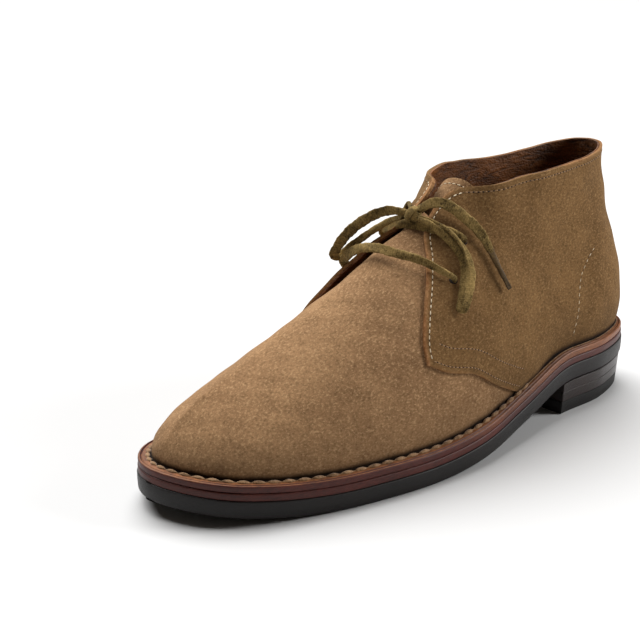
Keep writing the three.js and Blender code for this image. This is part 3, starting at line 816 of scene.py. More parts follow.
def suede(name, deep, middle, light, nap, fleck):
    """Colours from the deepest to the lightest; fleck: how strongly single tufts show."""
    paint = Paint(
        name, Roughness=0.95, Sheen_Weight=0.10, Sheen_Roughness=0.45,
        Sheen_Tint=tone(205, 180, 140), Specular_IOR_Level=0.12)
    clouds = paint.noise(0.040, 2, 0.5, swirl=0.4)
    patches = paint.noise(0.0085, 3, 0.6, swirl=0.3)
    tufts = paint.noise(0.0016, 3, 0.7)
    fibres = paint.noise(0.0009, 3, 0.7, place=paint.place((1, 0.6, 1), (0.3, 0.2, 0.5)))
    base = paint.mix(clouds.between(0.30, 0.70), middle, light)
    base = paint.mix(patches.between(0.45, 0.80) * 0.30, base, deep)
    base = paint.mix(tufts.between(0.50, 0.66) * 0.36, base, deep)
    base = paint.mix(fibres.between(0.53, 0.66) * fleck, base, nap)
    base = paint.mix((1 - fibres).between(0.54, 0.68) * 0.44, base, deep)
    worn = paint.kept("worn")
    edge = paint.mix((tufts + patches).between(0.88, 1.10), CUT_PATCH, CUT_EDGE)
    base = paint.mix(worn * (0.25 + 1.2 * tufts).between(0.45, 1.1) * 1.15, base, edge)
    # painted shade: dark in the crease over the welt and fading upwards, with some wax and dust
    base = paint.mix(paint.kept("crease_shade_and_soil") * (0.75 + 0.5 * patches), base, CREASE_SHADE_AND_SOIL)
    paint.color(base)
    paint.relief(0.5 * tufts + 0.4 * fibres + 0.25 * patches, 0.0006, 0.5)
    return paint.material


SUEDE = suede(
    "khaki_suede", tone(74, 52, 30), tone(124, 93, 64), tone(150, 116, 82),
    tone(188, 154, 114), 0.58)
# painted shade: the quarters' suede is a darker copy, for side walls that stand away from the light
SHADED_QUARTER_SUEDE = suede(
    "khaki_suede_quarters_painted_shade", tone(56, 39, 20), tone(100, 73, 43), tone(118, 88, 54),
    tone(156, 124, 84), 0.46)
print("suede nodes", len(SUEDE.node_tree.nodes))


# %% [markdown]
# ### Cut edges, lining and thread
# Where suede is cut, the hide's core shows: orange-brown and fibrous. The lining and the sock are
# smooth grain leather, whose fine wrinkles run along the foot: stretching the coordinates of a
# noise draws them. Thread is a pale colour with a darker one where its plies turn away.

# %% Leathers and thread
def raw_edge(name, dark, light):
    paint = Paint(name, Roughness=0.85, Specular_IOR_Level=0.25)
    streaks = paint.noise(0.0009, 3, 0.65, place=paint.place((1, 1, 2.5)))
    clouds = paint.noise(0.012, 2)
    paint.color(paint.mix((0.6 * streaks + 0.4 * clouds).between(0.36, 0.64), dark, light))
    paint.relief(streaks, 0.0005, 0.6)
    return paint.material


def grain_leather(name, dark, light):
    paint = Paint(name, Specular_IOR_Level=0.22)
    wrinkles = paint.noise(0.0035, 4, 0.6, place=paint.place((0.35, 0.35, 1.6)), swirl=1.2)
    pores = paint.cells(0.0011)
    clouds = paint.noise(0.025, 2)
    shade = (0.6 * wrinkles + 0.4 * clouds).between(0.36, 0.66)
    paint.color(paint.mix(shade, dark, light))
    paint.roughness(0.5 + 0.15 * wrinkles)
    paint.relief(0.8 * wrinkles + 0.2 * pores, 0.0016, 0.9)
    return paint.material


def thread(name, colour, shade):
    paint = Paint(name, Roughness=0.75)
    twist = paint.noise(0.0005, 1)
    paint.color(paint.mix(twist.between(0.4, 0.6), shade, colour))
    return paint.material


RAW_EDGE = raw_edge("raw_edge", tone(112, 76, 48), tone(184, 144, 102))
LINING = grain_leather("lining_leather", tone(50, 26, 9), tone(122, 74, 32))
SOCK = grain_leather("sock_leather", tone(120, 84, 52), tone(160, 118, 78))
PALE_THREAD = thread("pale_thread", tone(226, 212, 184), tone(186, 166, 134))
TAN_THREAD = thread("tan_thread", tone(160, 126, 88), tone(112, 82, 52))
# painted shade: flat dark spots that stand for needle and lace holes
HOLE_SHADE = Paint("painted_hole_shade", Base_Color=tone(38, 26, 18), Roughness=0.95).material
print("leathers", RAW_EDGE.name, LINING.name, SOCK.name)


# %% [markdown]
# ### Sole edges
# The welt's edge is waxed orange-brown leather. The middle sole is stained mahogany and
# burnished. The outsole's edge is inked almost black and rubbed to a soft sheen, with faint
# streaks along it left by the iron. The same finish with other colours serves the heel and the
# lace's film tips.

# %% Sole finishes
def burnished(name, dark, light, rough, coat=0.0, streak=0.004, rear=None):
    """rear: a darker and a lighter colour that take over towards the heel."""
    paint = Paint(name, Coat_Weight=coat, Coat_Roughness=0.25, Specular_IOR_Level=0.28)
    along = paint.place((1, 1, 14))
    streaks = paint.noise(streak, 4, 0.6, place=along)
    scuffs = paint.noise(0.0011, 3, 0.7)
    clouds = paint.noise(0.03, 3, 0.6)
    shade = (0.45 * streaks + 0.2 * scuffs + 0.35 * clouds).between(0.38, 0.62)
    front = paint.mix(shade, dark, light)
    if rear:
        back = paint.node("ShaderNodeSeparateXYZ", {}, {0: paint.place()}, output=1)
        front = paint.mix(back.between(-0.02, 0.06), front, paint.mix(shade, *rear))
    paint.color(front)
    paint.roughness(rough + 0.25 * (scuffs - 0.5) + 0.15 * (clouds - 0.5))
    paint.relief(0.7 * streaks + 0.3 * scuffs, 0.0004, 0.4)
    return paint.material


WELT_PAINT = burnished("welt_leather", tone(70, 36, 18), tone(134, 84, 46), 0.6)
STAIN = (tone(40, 12, 8), tone(84, 34, 24))
MAHOGANY = burnished("mahogany_edge", *STAIN, 0.5, 0.08)
WELT_EDGE = burnished(
    "welt_edge", *STAIN, 0.5, 0.08, rear=(tone(78, 40, 20), tone(140, 86, 48)))
SOLE_EDGE = burnished("outsole_edge", tone(11, 9, 8), tone(24, 19, 17), 0.5, 0.05)
HEEL_EDGE = burnished("heel_stack_edge", tone(15, 9, 8), tone(38, 24, 20), 0.36, 0.15, 0.003)
TREAD = burnished("top_piece_rubber", tone(15, 14, 14), tone(30, 28, 27), 0.65)
LACE_TIP = burnished("lace_tip_film", tone(42, 30, 14), tone(104, 80, 44), 0.65, 0.0, 0.002)
print("sole finishes", WELT_PAINT.name, MAHOGANY.name, SOLE_EDGE.name, HEEL_EDGE.name)


# %% [markdown]
# ### Welt thread and crease
# The coarse thread on the welt is fuzzy and dull, and the crease behind it is painted near black
# as painted shade. Both are lumpy all over, so one rule with other colours makes them.

# %% Welt thread and crease
def cord_leather(name, dark, light, sheen):
    paint = Paint(name, Roughness=0.95, Sheen_Weight=sheen, Specular_IOR_Level=0.15)
    lumps = paint.noise(0.0016, 3, 0.6)
    clouds = paint.noise(0.01, 2)
    paint.color(paint.mix((0.6 * lumps + 0.4 * clouds).between(0.36, 0.64), dark, light))
    paint.relief(lumps, 0.0009, 0.7)
    return paint.material


RAND = cord_leather("welt_cord", tone(92, 68, 46), tone(160, 126, 92), 0.2)
# painted shade: the near-black finish of the strip in the gap between upper and welt
CREASE_SHADE = cord_leather("painted_crease_shade", tone(16, 9, 5), tone(36, 23, 13), 0)
print("welt thread", RAND.name, "and", CREASE_SHADE.name)


# %% [markdown]
# ### Lace
# A worn cotton lace: the weave has almost felted over, so it shows as faint slanting ribs under
# fuzz. The ribs follow the lace, so they read its UV map: u is metres along the run, v goes
# round.

# %% Lace cloth
RIB_PITCH = 0.0011


def lace_cloth(name, dark, light):
    paint = Paint(
        name, Roughness=0.9, Sheen_Weight=0.3, Sheen_Roughness=0.4,
        Sheen_Tint=tone(170, 160, 110), Specular_IOR_Level=0.15)
    where = paint.node("ShaderNodeTexCoord", output="UV")
    u, v = (paint.node("ShaderNodeSeparateXYZ", {}, {0: where}, output=k) for k in (0, 1))
    turn = 2 * math.pi
    ribs = (turn / RIB_PITCH * u + 3 * turn * v).sine()
    fuzz = paint.noise(0.0008, 3, 0.7)
    tufts = paint.noise(0.0019, 3, 0.65)
    clouds = paint.noise(0.009, 2)
    shade = (0.015 * ribs + 0.35 * fuzz + 0.35 * tufts + 0.30 * clouds).between(0.38, 0.62)
    paint.color(paint.mix(shade, dark, light))
    paint.relief(0.02 * ribs + 0.5 * fuzz + 0.5 * tufts, 0.0006, 0.8)
    return paint.material


LACE_CLOTH = lace_cloth("olive_lace", tone(56, 43, 20), tone(152, 126, 76))
print("paints", len(bpy.data.materials))


# %% [markdown]
# ## The suede panels
# A chukka has a vamp with a tongue behind it, and two quarters that meet at the back and lie over
# it in front. Each is one grid laid on the last, so its edges follow the cut exactly and can get
# real thickness. A quarter is cut as a four-sided patch: the welt, the back seam, the collar
# running on into the facing, and the lower edge that sweeps down to the welt. A Coons patch fills
# the middle.

# %% Outlines of the quarters: way, rise
ALONG_SCALE, UP_SCALE = 0.35, 0.11     # metres for one way and one rise, to space points evenly
COLLAR = [(0.0, 1.0), (0.1, 1.0), (0.2, 1.0), (0.3, 1.0), (0.38, 1.0), (0.43, 0.998)]
FACING = {
    1: COLLAR + [
        (0.46, 0.980), (0.482, 0.926), (0.499, 0.882), (0.515, 0.872), (0.532, 0.889),
        (0.547, 0.898), (0.558, 0.874), (0.565, 0.750), (0.573, 0.626), (0.581, 0.528),
        (0.587, 0.422), (0.583, 0.334),
    ],
    -1: COLLAR + [
        (0.46, 0.972), (0.482, 0.925), (0.500, 0.900), (0.516, 0.905), (0.532, 0.940),
        (0.550, 0.940), (0.570, 0.872), (0.588, 0.765), (0.608, 0.685), (0.627, 0.620),
        (0.640, 0.545), (0.645, 0.455), (0.637, 0.340),
    ],
}
LOWER = {
    1: [(0.385, 0.0), (0.425, 0.078), (0.468, 0.147), (0.522, 0.214), (0.583, 0.334)],
    -1: [(0.400, 0.0), (0.440, 0.080), (0.490, 0.155), (0.560, 0.235), (0.637, 0.340)],
}


def cut(points, count):
    """A smooth cut through a few points, as ways and rises."""
    scale = np.array([ALONG_SCALE, UP_SCALE])
    return trace(np.array(points) * scale, count) / scale


CUT = {side: (cut(FACING[side], 400), cut(LOWER[side], 160)) for side in (1, -1)}


def along_cut(rows, s):
    return read_rows(s, np.linspace(0, 1, len(rows)), rows)


def quarter_cut(side, a, b):
    """Way and rise inside a quarter: a from the back seam forward, b from the welt up."""
    top, front = CUT[side]
    a, b = np.broadcast_arrays(np.asarray(a, float), np.asarray(b, float))
    start = front[0]
    corner = front[-1]
    low = a[..., None] * start
    high = along_cut(top, a)
    behind = np.stack([0 * b, b], axis=-1)
    ahead = along_cut(front, b)
    a, b = a[..., None], b[..., None]
    plane = (1 - a) * b * np.array([0.0, 1.0]) + a * (1 - b) * start + a * b * corner
    return (1 - b) * low + b * high + (1 - a) * behind + a * ahead - plane


print("outer facing starts at way and rise", CUT[1][0][0].round(3))


# %% [markdown]
# ### Lines to measure from
# Stitches, worn edges and the lift over the vamp all depend on how far a place is from a cut. So
# the cuts are kept as lines on the last, and one function measures the distance to a line.

# %% Distances
def distance_to(points, line):
    """Distance from points to a polyline, all in metres."""
    shape = points.shape[:-1]
    points = points.reshape(-1, 3)
    best = np.full(len(points), np.inf)
    for p, q in zip(line[:-1], line[1:]):
        d = q - p
        t = np.clip((points - p) @ d / max(d @ d, 1e-12), 0, 1)
        best = np.minimum(best, np.linalg.norm(points - (p + t[:, None] * d), axis=1))
    return best.reshape(shape)


def on_last(side, rows):
    rows = np.array(rows)
    return last_point(side, rows[:, 0], rows[:, 1])


FACING_LINE = {}
LOWER_LINE = {}
COLLAR_LINE = {}
for side in (1, -1):
    top, front = CUT[side]
    COLLAR_LINE[side] = on_last(side, top[:165:3])
    facing = top[(top[:, 0] > 0.5) & (np.arange(len(top)) > 150)]
    FACING_LINE[side] = on_last(side, facing[::4])
    LOWER_LINE[side] = on_last(side, front[::4])
print("facing lines", [round(float(run_of(line)[-1]), 4) for line in FACING_LINE.values()])


# %% [markdown]
# ### Soft forms
# Worn leather isn't as even as its last. Walking leaves long creases over the ankle and low waves
# behind the toes, and the lace pulls its holes in. Each is a shallow ridge or hollow along a
# line. Sculpting would do it too, but lines and depths are easy to change and always come out the
# same.

# %% Creases and hollows
FORMS = [  # side, (way, rise) points, width, height
    (1, [(0.43, 0.93), (0.36, 0.80), (0.27, 0.66), (0.20, 0.58)], 0.0080, -0.0011),
    (1, [(0.47, 0.80), (0.40, 0.62), (0.30, 0.46), (0.22, 0.38)], 0.0100, -0.0013),
    (1, [(0.42, 0.42), (0.34, 0.30), (0.25, 0.22)], 0.0110, 0.0010),
    (1, [(0.30, 0.88), (0.20, 0.80), (0.10, 0.78)], 0.0080, 0.0007),
    (-1, [(0.45, 0.85), (0.36, 0.66), (0.26, 0.50)], 0.0090, -0.0012),
    (-1, [(0.40, 0.50), (0.30, 0.36), (0.20, 0.28)], 0.0100, 0.0009),
    (1, [(0.64, 0.55), (0.66, 0.75), (0.66, 0.95)], 0.0085, -0.0007),
    (-1, [(0.64, 0.55), (0.66, 0.75), (0.66, 0.95)], 0.0085, -0.0007),
    (1, [(0.72, 0.50), (0.73, 0.75), (0.73, 0.98)], 0.0110, 0.0005),
    (-1, [(0.72, 0.45), (0.73, 0.70), (0.73, 0.98)], 0.0120, -0.0006),
]
FORM_LINES = [(on_last(side, cut(rows, 12)), width, depth) for side, rows, width, depth in FORMS]
HOLE_PLACES = [on_last(side, [row])[0] for side in EYELETS for row in EYELETS[side]]
HOLE_PULL, HOLE_REACH = 0.0009, 0.0042    # how deep and how far round a hole the leather sinks


def forms(points):
    """How far the leather stands off the last's plain surface because of its soft forms."""
    height = np.zeros(points.shape[:-1])
    for line, width, depth in FORM_LINES:
        height += depth * np.exp(-(distance_to(points, line) / width) ** 2)
    for place in HOLE_PLACES:
        away = np.linalg.norm(points - place, axis=-1)
        height -= HOLE_PULL * np.exp(-(away / HOLE_REACH) ** 2)
    x, y, z = (points[..., k] for k in range(3))
    # two slow waves, a few tenths of a millimetre high, take the last bit of evenness away
    height += 0.00022 * np.sin(x * 190 + y * 70) * np.sin(z * 230 - y * 110 + 1)
    height += 0.00016 * np.sin(y * 330 + z * 120 + 2) * np.sin(x * 270 - z * 180)
    return height


print("soft forms", len(FORM_LINES), "and pulled holes", len(HOLE_PLACES))


# %% [markdown]
# ### How high a quarter lies
# In front a quarter lies on the vamp, so it stands one layer further out there. The edges of the
# facings stand away from the instep, the inner one most, and the tied bow pulls the inner one
# over so that it bulges behind its edge. Down the middle of the back runs a narrow seam.

# %% Height of a quarter over the last
EDGE_LIFT = 0.0028             # two layers lie on the vamp along the front edges
WALL_LIFT = 0.0012             # and stand this far out of the last elsewhere
OVERLAP, OVERLAP_FADE = 0.016, 0.018      # how far behind the edge the vamp reaches and fades


def quarter_height(side, points):
    front = distance_to(points, FACING_LINE[side])
    low = distance_to(points, LOWER_LINE[side])
    near = 1 - ease((np.minimum(front, low) - OVERLAP) / OVERLAP_FADE)
    lift = WALL_LIFT + (EDGE_LIFT - WALL_LIFT) * near
    height = points[..., 2]
    if side < 0:
        # this edge gapes over the instep, most of all below the bow
        stand = 0.0040 * ease((height - 0.048) / 0.02) - 0.0026 * ease((height - 0.090) / 0.014)
    else:
        stand = 0.0006 * ease((height - 0.070) / 0.02)
    lift += stand * (1 - ease(front / 0.014))
    if side < 0:
        # the tied bow pulls the inner facing over, and it bulges behind its edge
        bulge = np.exp(-((front - 0.012) / 0.010) ** 2)
        lift += 0.0042 * bulge * ease((height - 0.092) / 0.016)
    seam = np.exp(-((points[..., 0] - CENTRE_SHIFT) / 0.0011) ** 2) * (points[..., 1] > 0.1)
    return lift + forms(points) - 0.0005 * seam


print("lift at the edge", EDGE_LIFT, "and behind it", WALL_LIFT)


# %% [markdown]
# ### Thickness and cut edges
# A sheet of leather has a thickness, and its cut edge shows another colour than its face.
# Solidify adds the second face and the rim, and gives the rim the next material. A small bevel
# then takes the hard corner off, because a cut edge of suede is never sharp.

# %% Walls
def wall(piece, thickness, paints, round_off=0.0003):
    """Give a sheet its thickness inwards; a second paint goes on its rim."""
    for paint in paints:
        piece.data.materials.append(paint)
    thick = piece.modifiers.new("thickness", "SOLIDIFY")
    thick.thickness = thickness
    thick.offset = -1
    thick.material_offset_rim = len(paints) - 1
    if round_off:
        soft = piece.modifiers.new("soft edge", "BEVEL")
        soft.width = round_off
        soft.segments = 2
        soft.limit_method = "ANGLE"
        soft.angle_limit = math.radians(50)
    apply_all(piece)


SUEDE_THICK, LINING_THICK = 0.0015, 0.0009
GLUE = 0.0001                  # room between two layers
print("quarter and lining together", round(SUEDE_THICK + LINING_THICK, 4))


# %% [markdown]
# ### Marks of wear and painted shade
# Edges are rubbed pale by hands and laces. The crease over the welt is painted dark as painted
# shade, with some wax and dust there too, and the painted shade fades upwards. Painting that by
# hand on each piece would be slow, so both marks are worked out from distances and kept as a number
# on each point, which the suede's finish reads.

# %% Marks of wear and painted shade
def mark(piece, name, values):
    """Keep one number per point, which the finish reads."""
    piece.data.attributes.new(name, "FLOAT", "POINT").data.foreach_set("value", values)


def mark_worn(piece, side):
    """How near each point is to the cut edges: 1 on them, 0 inside."""
    points = points_of(piece)
    lift = np.minimum(np.abs(quarter_height(side, points)), 0.007)

    def near(line, start, width):
        away = np.sqrt(np.maximum(distance_to(points, line) ** 2 - lift ** 2, 0))
        return 1 - ease((away - start) / width)

    facing = near(FACING_LINE[side], 0.0006, 0.0018)
    hem = near(LOWER_LINE[side], 0.0002, 0.0010)
    collar = near(COLLAR_LINE[side], 0.0004, 0.0010)
    # the facing is handled most, the collar less and the lower edge least
    mark(piece, "worn", np.maximum(np.maximum(facing, 0.45 * hem), 0.6 * collar))


def mark_crease_shade_and_soil(piece):
    """Painted shade with some wax and dust: dark in the crease over the welt, fading out above it.
    """
    points = points_of(piece)
    above = points[:, 2] - underside(HALF - points[:, 1]) - WELT_TOP
    mark(piece, "crease_shade_and_soil", 0.9 * (1 - ease(above / 0.0040)) + 0.3 * (1 - ease(above / 0.026)))


print("soiled from", WELT_TOP, "over the underside upwards")


# %% [markdown]
# ### The quarters
# Each side of the leg is one quarter of suede with a lining of thinner leather glued behind it.
# Both layers follow the same rule at another depth. The grid is dense, because its rows have to
# follow the facing's corner and the creases.

# %% Quarters and linings
QUARTER_A, QUARTER_B = 230, 96
quarters = {}


def quarter_sheet(side, drop):
    """The rule that lays a quarter's layer, drop metres under the outer surface."""
    def place(a, b):
        cell = quarter_cut(side, a, b)
        base = last_point(side, cell[:, 0], cell[:, 1])
        out = last_out(side, cell[:, 0], cell[:, 1])
        return base + out * (quarter_height(side, base) - drop)[:, None]

    return place


for side, word in ((1, "outer"), (-1, "inner")):
    for layer, drop, thick, paints in (
        ("quarter", 0, SUEDE_THICK, (SHADED_QUARTER_SUEDE, RAW_EDGE)),
        ("lining", SUEDE_THICK + GLUE, LINING_THICK, (LINING, RAW_EDGE)),
    ):
        piece = laid(
            f"{layer}_{word}", QUARTER_A, QUARTER_B, quarter_sheet(side, drop), flip=side > 0)
        wall(piece, thick, paints)
        if layer == "quarter":
            mark_worn(piece, side)
            mark_crease_shade_and_soil(piece)
        quarters[layer, side] = finish_piece(piece, "suede", *paints)


# %% [markdown]
# ### The strip over the back seam
# Inside, the two linings meet down the middle of the back. A strip of the same leather is sewn
# over that seam, so that it can't rub the heel. It is a narrow grid laid just inside the linings.

# %% Back seam strip
STRIP_HALF = 0.030             # half its width, as a way


def back_strip(a, b):
    way = (2 * a - 1) * STRIP_HALF
    side = np.where(way < 0, -1.0, 1.0)
    rise = 0.02 + 0.955 * b
    base = last_point(side, np.abs(way), rise)
    out = last_out(side, np.abs(way), rise)
    depth = WALL_LIFT - SUEDE_THICK - LINING_THICK - 0.0002
    return base + out * (depth + forms(base))[:, None]


strip = laid("back_seam_strip", 24, 90, back_strip)
wall(strip, 0.0008, (LINING, RAW_EDGE), round_off=0.0002)
finish_piece(strip, "suede", LINING, RAW_EDGE)
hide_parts("upper")


# %% [markdown]
# ### The vamp
# The vamp is one piece of suede pulled over the toe, and its back end hides under the quarters
# and the knot. Its grid runs from the inner welt over the ridge to the outer welt. The ribs crowd
# together at the toe, so the points along the ridge there are evened out, as a shoemaker hammers
# the folds flat.

# %% Vamp
VAMP_A, VAMP_B = 230, 180
VAMP_THICK = 0.0013
VAMP_BACK = [  # rise, way: where the vamp ends, hidden under the quarters and the knot
    (0.00, 0.360), (0.20, 0.440), (0.40, 0.520), (0.55, 0.540), (0.66, 0.538),
    (0.76, 0.536), (0.88, 0.540), (1.00, 0.552),
]
back_rows = np.array(VAMP_BACK)


def vamp_place(a, b):
    u = 2 * a - 1
    side = np.where(u < 0, -1.0, 1.0)
    rise = 1 - np.abs(u)
    start = smooth(back_rows[:, 0], back_rows[:, 1], rise)
    way = start + (1 - start) * b
    base = last_point(side, way, rise)
    out = last_out(side, way, rise)
    # its hidden back edge is pressed down, so that it can't stand through a quarter
    sink = 0.0012 * (1 - ease((way - start) / 0.02)) * (1 - ease((rise - 0.80) / 0.1))
    return base + out * (forms(base) - sink)[:, None]


def settle(piece, line, reach, rounds):
    """Even out the points near a line, where the ribs crowd together."""
    mesh = piece.data
    for part in (mesh.polygons, mesh.edges, mesh.vertices):
        part.foreach_set("select", [False] * len(part))
    near = distance_to(points_of(piece), line) < reach
    mesh.vertices.foreach_set("select", near)
    pick(piece)
    bpy.ops.object.mode_set(mode="EDIT")
    bpy.ops.mesh.select_mode(type="VERT")
    bpy.ops.mesh.vertices_smooth(factor=0.6, repeat=rounds)
    bpy.ops.object.mode_set(mode="OBJECT")


vamp = laid("vamp", VAMP_A, VAMP_B, vamp_place, merge=True)
toe_ridge = on_last(1, [(way, 1.0) for way in np.linspace(0.80, 1.0, 20)])
settle(vamp, toe_ridge, 0.009, 20)
settle(vamp, toe_ridge[-2:], 0.007, 20)
wall(vamp, VAMP_THICK, (SUEDE, RAW_EDGE))
mark_crease_shade_and_soil(vamp)
finish_piece(vamp, "suede", SUEDE, RAW_EDGE)
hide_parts("upper")
for piece in quarters.values():
    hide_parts("upper")


# %% [markdown]
# ### The tongue
# The tongue is a soft strip under the facings that keeps the lace off the foot. It curves across
# the instep, stands steeper near its rounded top, and leans a little to the outer side. Its top
# row is pulled down at the corners, so the grid keeps even faces and needs no trimming.

# %% Tongue
TONGUE_LINE = [  # along, across, height of its middle line
    (0.1660, -0.0010, 0.0905), (0.1500, -0.0005, 0.1000), (0.1390, 0.0005, 0.1072),
    (0.1285, 0.0022, 0.1169), (0.1204, 0.0036, 0.1270),
]
TONGUE_HALF = 0.0142           # half its width
TONGUE_BEND = 0.0150           # radius of its curve across the instep
TONGUE_CORNER = 0.0085         # how far the top's corners come down
tongue_path = trace([in_frame(*row) for row in TONGUE_LINE], 200)
TONGUE_RUN = run_of(tongue_path)
ACROSS = np.array([1.0, 0, 0])


def tongue_place(a, b):
    angle = (2 * a - 1) * math.pi / 2
    s = np.sin(angle)
    run = TONGUE_RUN[-1] * b - TONGUE_CORNER * (1 - np.cos(angle)) ** 1.3 * b ** 3
    run = np.maximum(run, 0)
    middle = read_rows(run, TONGUE_RUN, tongue_path)
    tangent = unit(read_rows(run, TONGUE_RUN, np.gradient(tongue_path, axis=0)))
    front = unit(np.cross(tangent, ACROSS))
    front = front * np.sign(-front[:, 1:2])
    x = TONGUE_HALF * s
    drop = x ** 2 / (2 * TONGUE_BEND) + 0.0003 * np.sin(x * 300 + run * 150)
    return middle + ACROSS * x[:, None] - front * drop[:, None]


tongue = laid("tongue_sheet", 60, 90, tongue_place)
wall(tongue, VAMP_THICK, (SUEDE, RAW_EDGE))
finish_piece(tongue, "suede", SUEDE, RAW_EDGE)
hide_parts("tongue")


# %% [markdown]
# ## Stitching
# A stitch is a short bit of thread between two needle holes. Texture alone would look flat close
# up, so each stitch is a small bead on the suede. First the places: a row is a line on the last,
# cut into even steps, and a ray shot back at the panel from outside finds its real surface, so no
# bead floats or sinks.

# %% Places on a panel
def skin(piece):
    """A search tree over a finished piece."""
    corners = [vertex.co[:] for vertex in piece.data.vertices]
    return BVHTree.FromPolygons(corners, [face.vertices[:] for face in piece.data.polygons])


RAY_START = 0.008              # how far outside the piece a ray starts


def settle_on(tree, points, outward):
    """Where rays from outside meet the piece, and which way its face looks there."""
    found, facing = [], []
    for p, n in zip(points, outward):
        start = Vector(p + n * RAY_START)
        hit, normal, _, _ = tree.ray_cast(start, Vector(-n), 2 * RAY_START)
        if hit is None:
            found.append(p)
            facing.append(n)
        else:
            found.append(hit[:])
            facing.append((normal if normal.dot(Vector(n)) > 0 else -normal)[:])
    return np.array(found), np.array(facing)


def spaced(points, outward, pitch, start=0.5):
    """Evenly spaced places on a line, with the directions outward there."""
    run = run_of(points)
    at = np.arange(start, run[-1] / pitch - 0.2) * pitch
    return read_rows(at, run, points), unit(read_rows(at, run, outward))


def shifted_line(side, rows, aside):
    """A line on the last moved sideways; positive is towards the heel or the floor."""
    rows = np.array(rows)
    p = last_point(side, rows[:, 0], rows[:, 1])
    n = last_out(side, rows[:, 0], rows[:, 1])
    t = unit(np.gradient(p, axis=0))
    return p + np.cross(n, t) * aside * side, n


print("the knot stands off the tongue by", round(skin(tongue).find_nearest(KNOT)[3], 4))


# %% [markdown]
# ### Beads of thread
# One small sphere is modelled, and an Array modifier repeats it once per stitch. Each copy is
# then squeezed, turned along the row and put in its place. A needle hole is the same bead, flat
# and dark, as painted shade for the hole.

# %% Beads
def beads(name, middle, tangent, normal, size, paint):
    """One bead per place: size is its length, width and height."""
    deselect()
    bpy.ops.mesh.primitive_uv_sphere_add(segments=8, ring_count=5, radius=1)
    piece = bpy.context.object
    piece.name = name
    piece.data.name = name
    row = piece.modifiers.new("row", "ARRAY")
    row.count = len(middle)
    apply_all(piece)
    one = points_of(piece).reshape(len(middle), -1, 3)[0]
    across = unit(np.cross(normal, tangent))
    tangent = np.cross(across, normal)
    spread = sum(
        axis[:, None, :] * one[None, :, k:k + 1] * size[k] / 2
        for k, axis in enumerate((tangent, across, normal)))
    piece.data.vertices.foreach_set("co", (middle[:, None, :] + spread).ravel())
    piece.data.update()
    pick(piece)
    bpy.ops.object.shade_smooth()
    return finish_piece(piece, "suede", paint)


def sew(name, tree, points, outward, paint, stitch=0.0021, gap=0.0009, width=0.0006, hole=0.0006):
    """A row of stitches with a needle hole at each end of every stitch."""
    pitch = stitch + gap
    for kind, start, size, finish, sink in (
        ("thread", 0.5, (stitch, width, width * 0.9), paint, -0.00005),
        ("holes", 0.0, (hole * 1.3, hole, 0.0003), HOLE_SHADE, -0.00003),
    ):
        p, n = spaced(points, outward, pitch, start)
        p, n = settle_on(tree, p, n)
        t = unit(np.gradient(p, axis=0))
        beads(f"{name}_{kind}", p + n * sink, t, n, size, finish)


print("needle holes use", HOLE_SHADE.name)


# %% [markdown]
# ### The sewn rows
# A pale row follows the facing, and finer tan rows follow the collar and the lower edge, which is
# sewn twice. A pale row behind them holds the stiff counter inside the heel. Each is given by its
# line, its thread, the stitch's length and gap, and the size of its needle holes.

# %% Sewn rows
COUNTER = [  # way, rise
    (0.188, 0.500), (0.210, 0.450), (0.227, 0.376), (0.236, 0.297), (0.237, 0.207),
    (0.238, 0.103), (0.240, 0.038),
]
FRONT_ROW = 0.0030             # distance of a row from its cut edge
SECOND_ROW = 0.0118
FINE = dict(stitch=0.0014, gap=0.0008, hole=0.0007)
FACING_START = 0.488           # way at which the collar's row gives over to the facing's
for side, word in ((1, "outer"), (-1, "inner")):
    tree = skin(quarters["quarter", side])
    top, front = CUT[side]
    turn = int(np.argmax(top[:, 0] > FACING_START))
    for row, rows, aside, paint, stitches in (
        ("collar", top[6:turn], FRONT_ROW, TAN_THREAD, dict(stitch=0.0015, hole=0.0008)),
        ("facing", top[turn:-3], FRONT_ROW, PALE_THREAD, {}),
        ("lower", front[:-6], -FRONT_ROW, TAN_THREAD, FINE),
        ("upper", front[:-8], -SECOND_ROW, TAN_THREAD, FINE),
        ("counter", cut(COUNTER, 80), 0.0, PALE_THREAD,
         dict(stitch=0.0022, gap=0.0016, width=0.00042)),
    ):
        sew(f"{row}_row_{word}", tree, *shifted_line(side, rows, aside), paint, **stitches)


# %% [markdown]
# ### The tongue's row
# A row of stitches runs round the tongue's top, a few millimetres inside its edge. Two rows of
# the tongue's own rule give its line and the direction out of the leather.

# %% Tongue row
tree = skin(tongue)
a = np.linspace(0.02, 0.98, 160)
line = tongue_place(a, np.full(160, 0.945))
above = tongue_place(a, np.full(160, 0.965))
outward = unit(np.cross(np.gradient(line, axis=0), above - line))
outward = outward * np.sign((outward * [0, -1, 0.6]).sum(1, keepdims=True))
sew("tongue_row", tree, line, outward, PALE_THREAD, 0.0022, 0.0012)


# %% [markdown]
# ### Lace holes
# The holes are punched, with no metal ring, and the suede sinks in round them. Cutting them
# through three layers would break the even grid, and only a dark spot is ever seen, so each is a
# flat dark bead, painted shade for the hole, set into the hollow that the soft forms already made.

# %% Punched holes
HOLE_SIZE, HOLE_DEPTH = 0.0046, 0.0006
for side, word in ((1, "outer"), (-1, "inner")):
    rows = np.array(EYELETS[side])
    p, n = settle_on(
        skin(quarters["quarter", side]), last_point(side, rows[:, 0], rows[:, 1]),
        last_out(side, rows[:, 0], rows[:, 1]))
    t = unit(np.cross(n, np.array([[0.0, 0.0, 1.0]])))
    beads(f"lace_holes_{word}", p, t, n, (HOLE_SIZE * 1.3, HOLE_SIZE, HOLE_DEPTH), HOLE_SHADE)


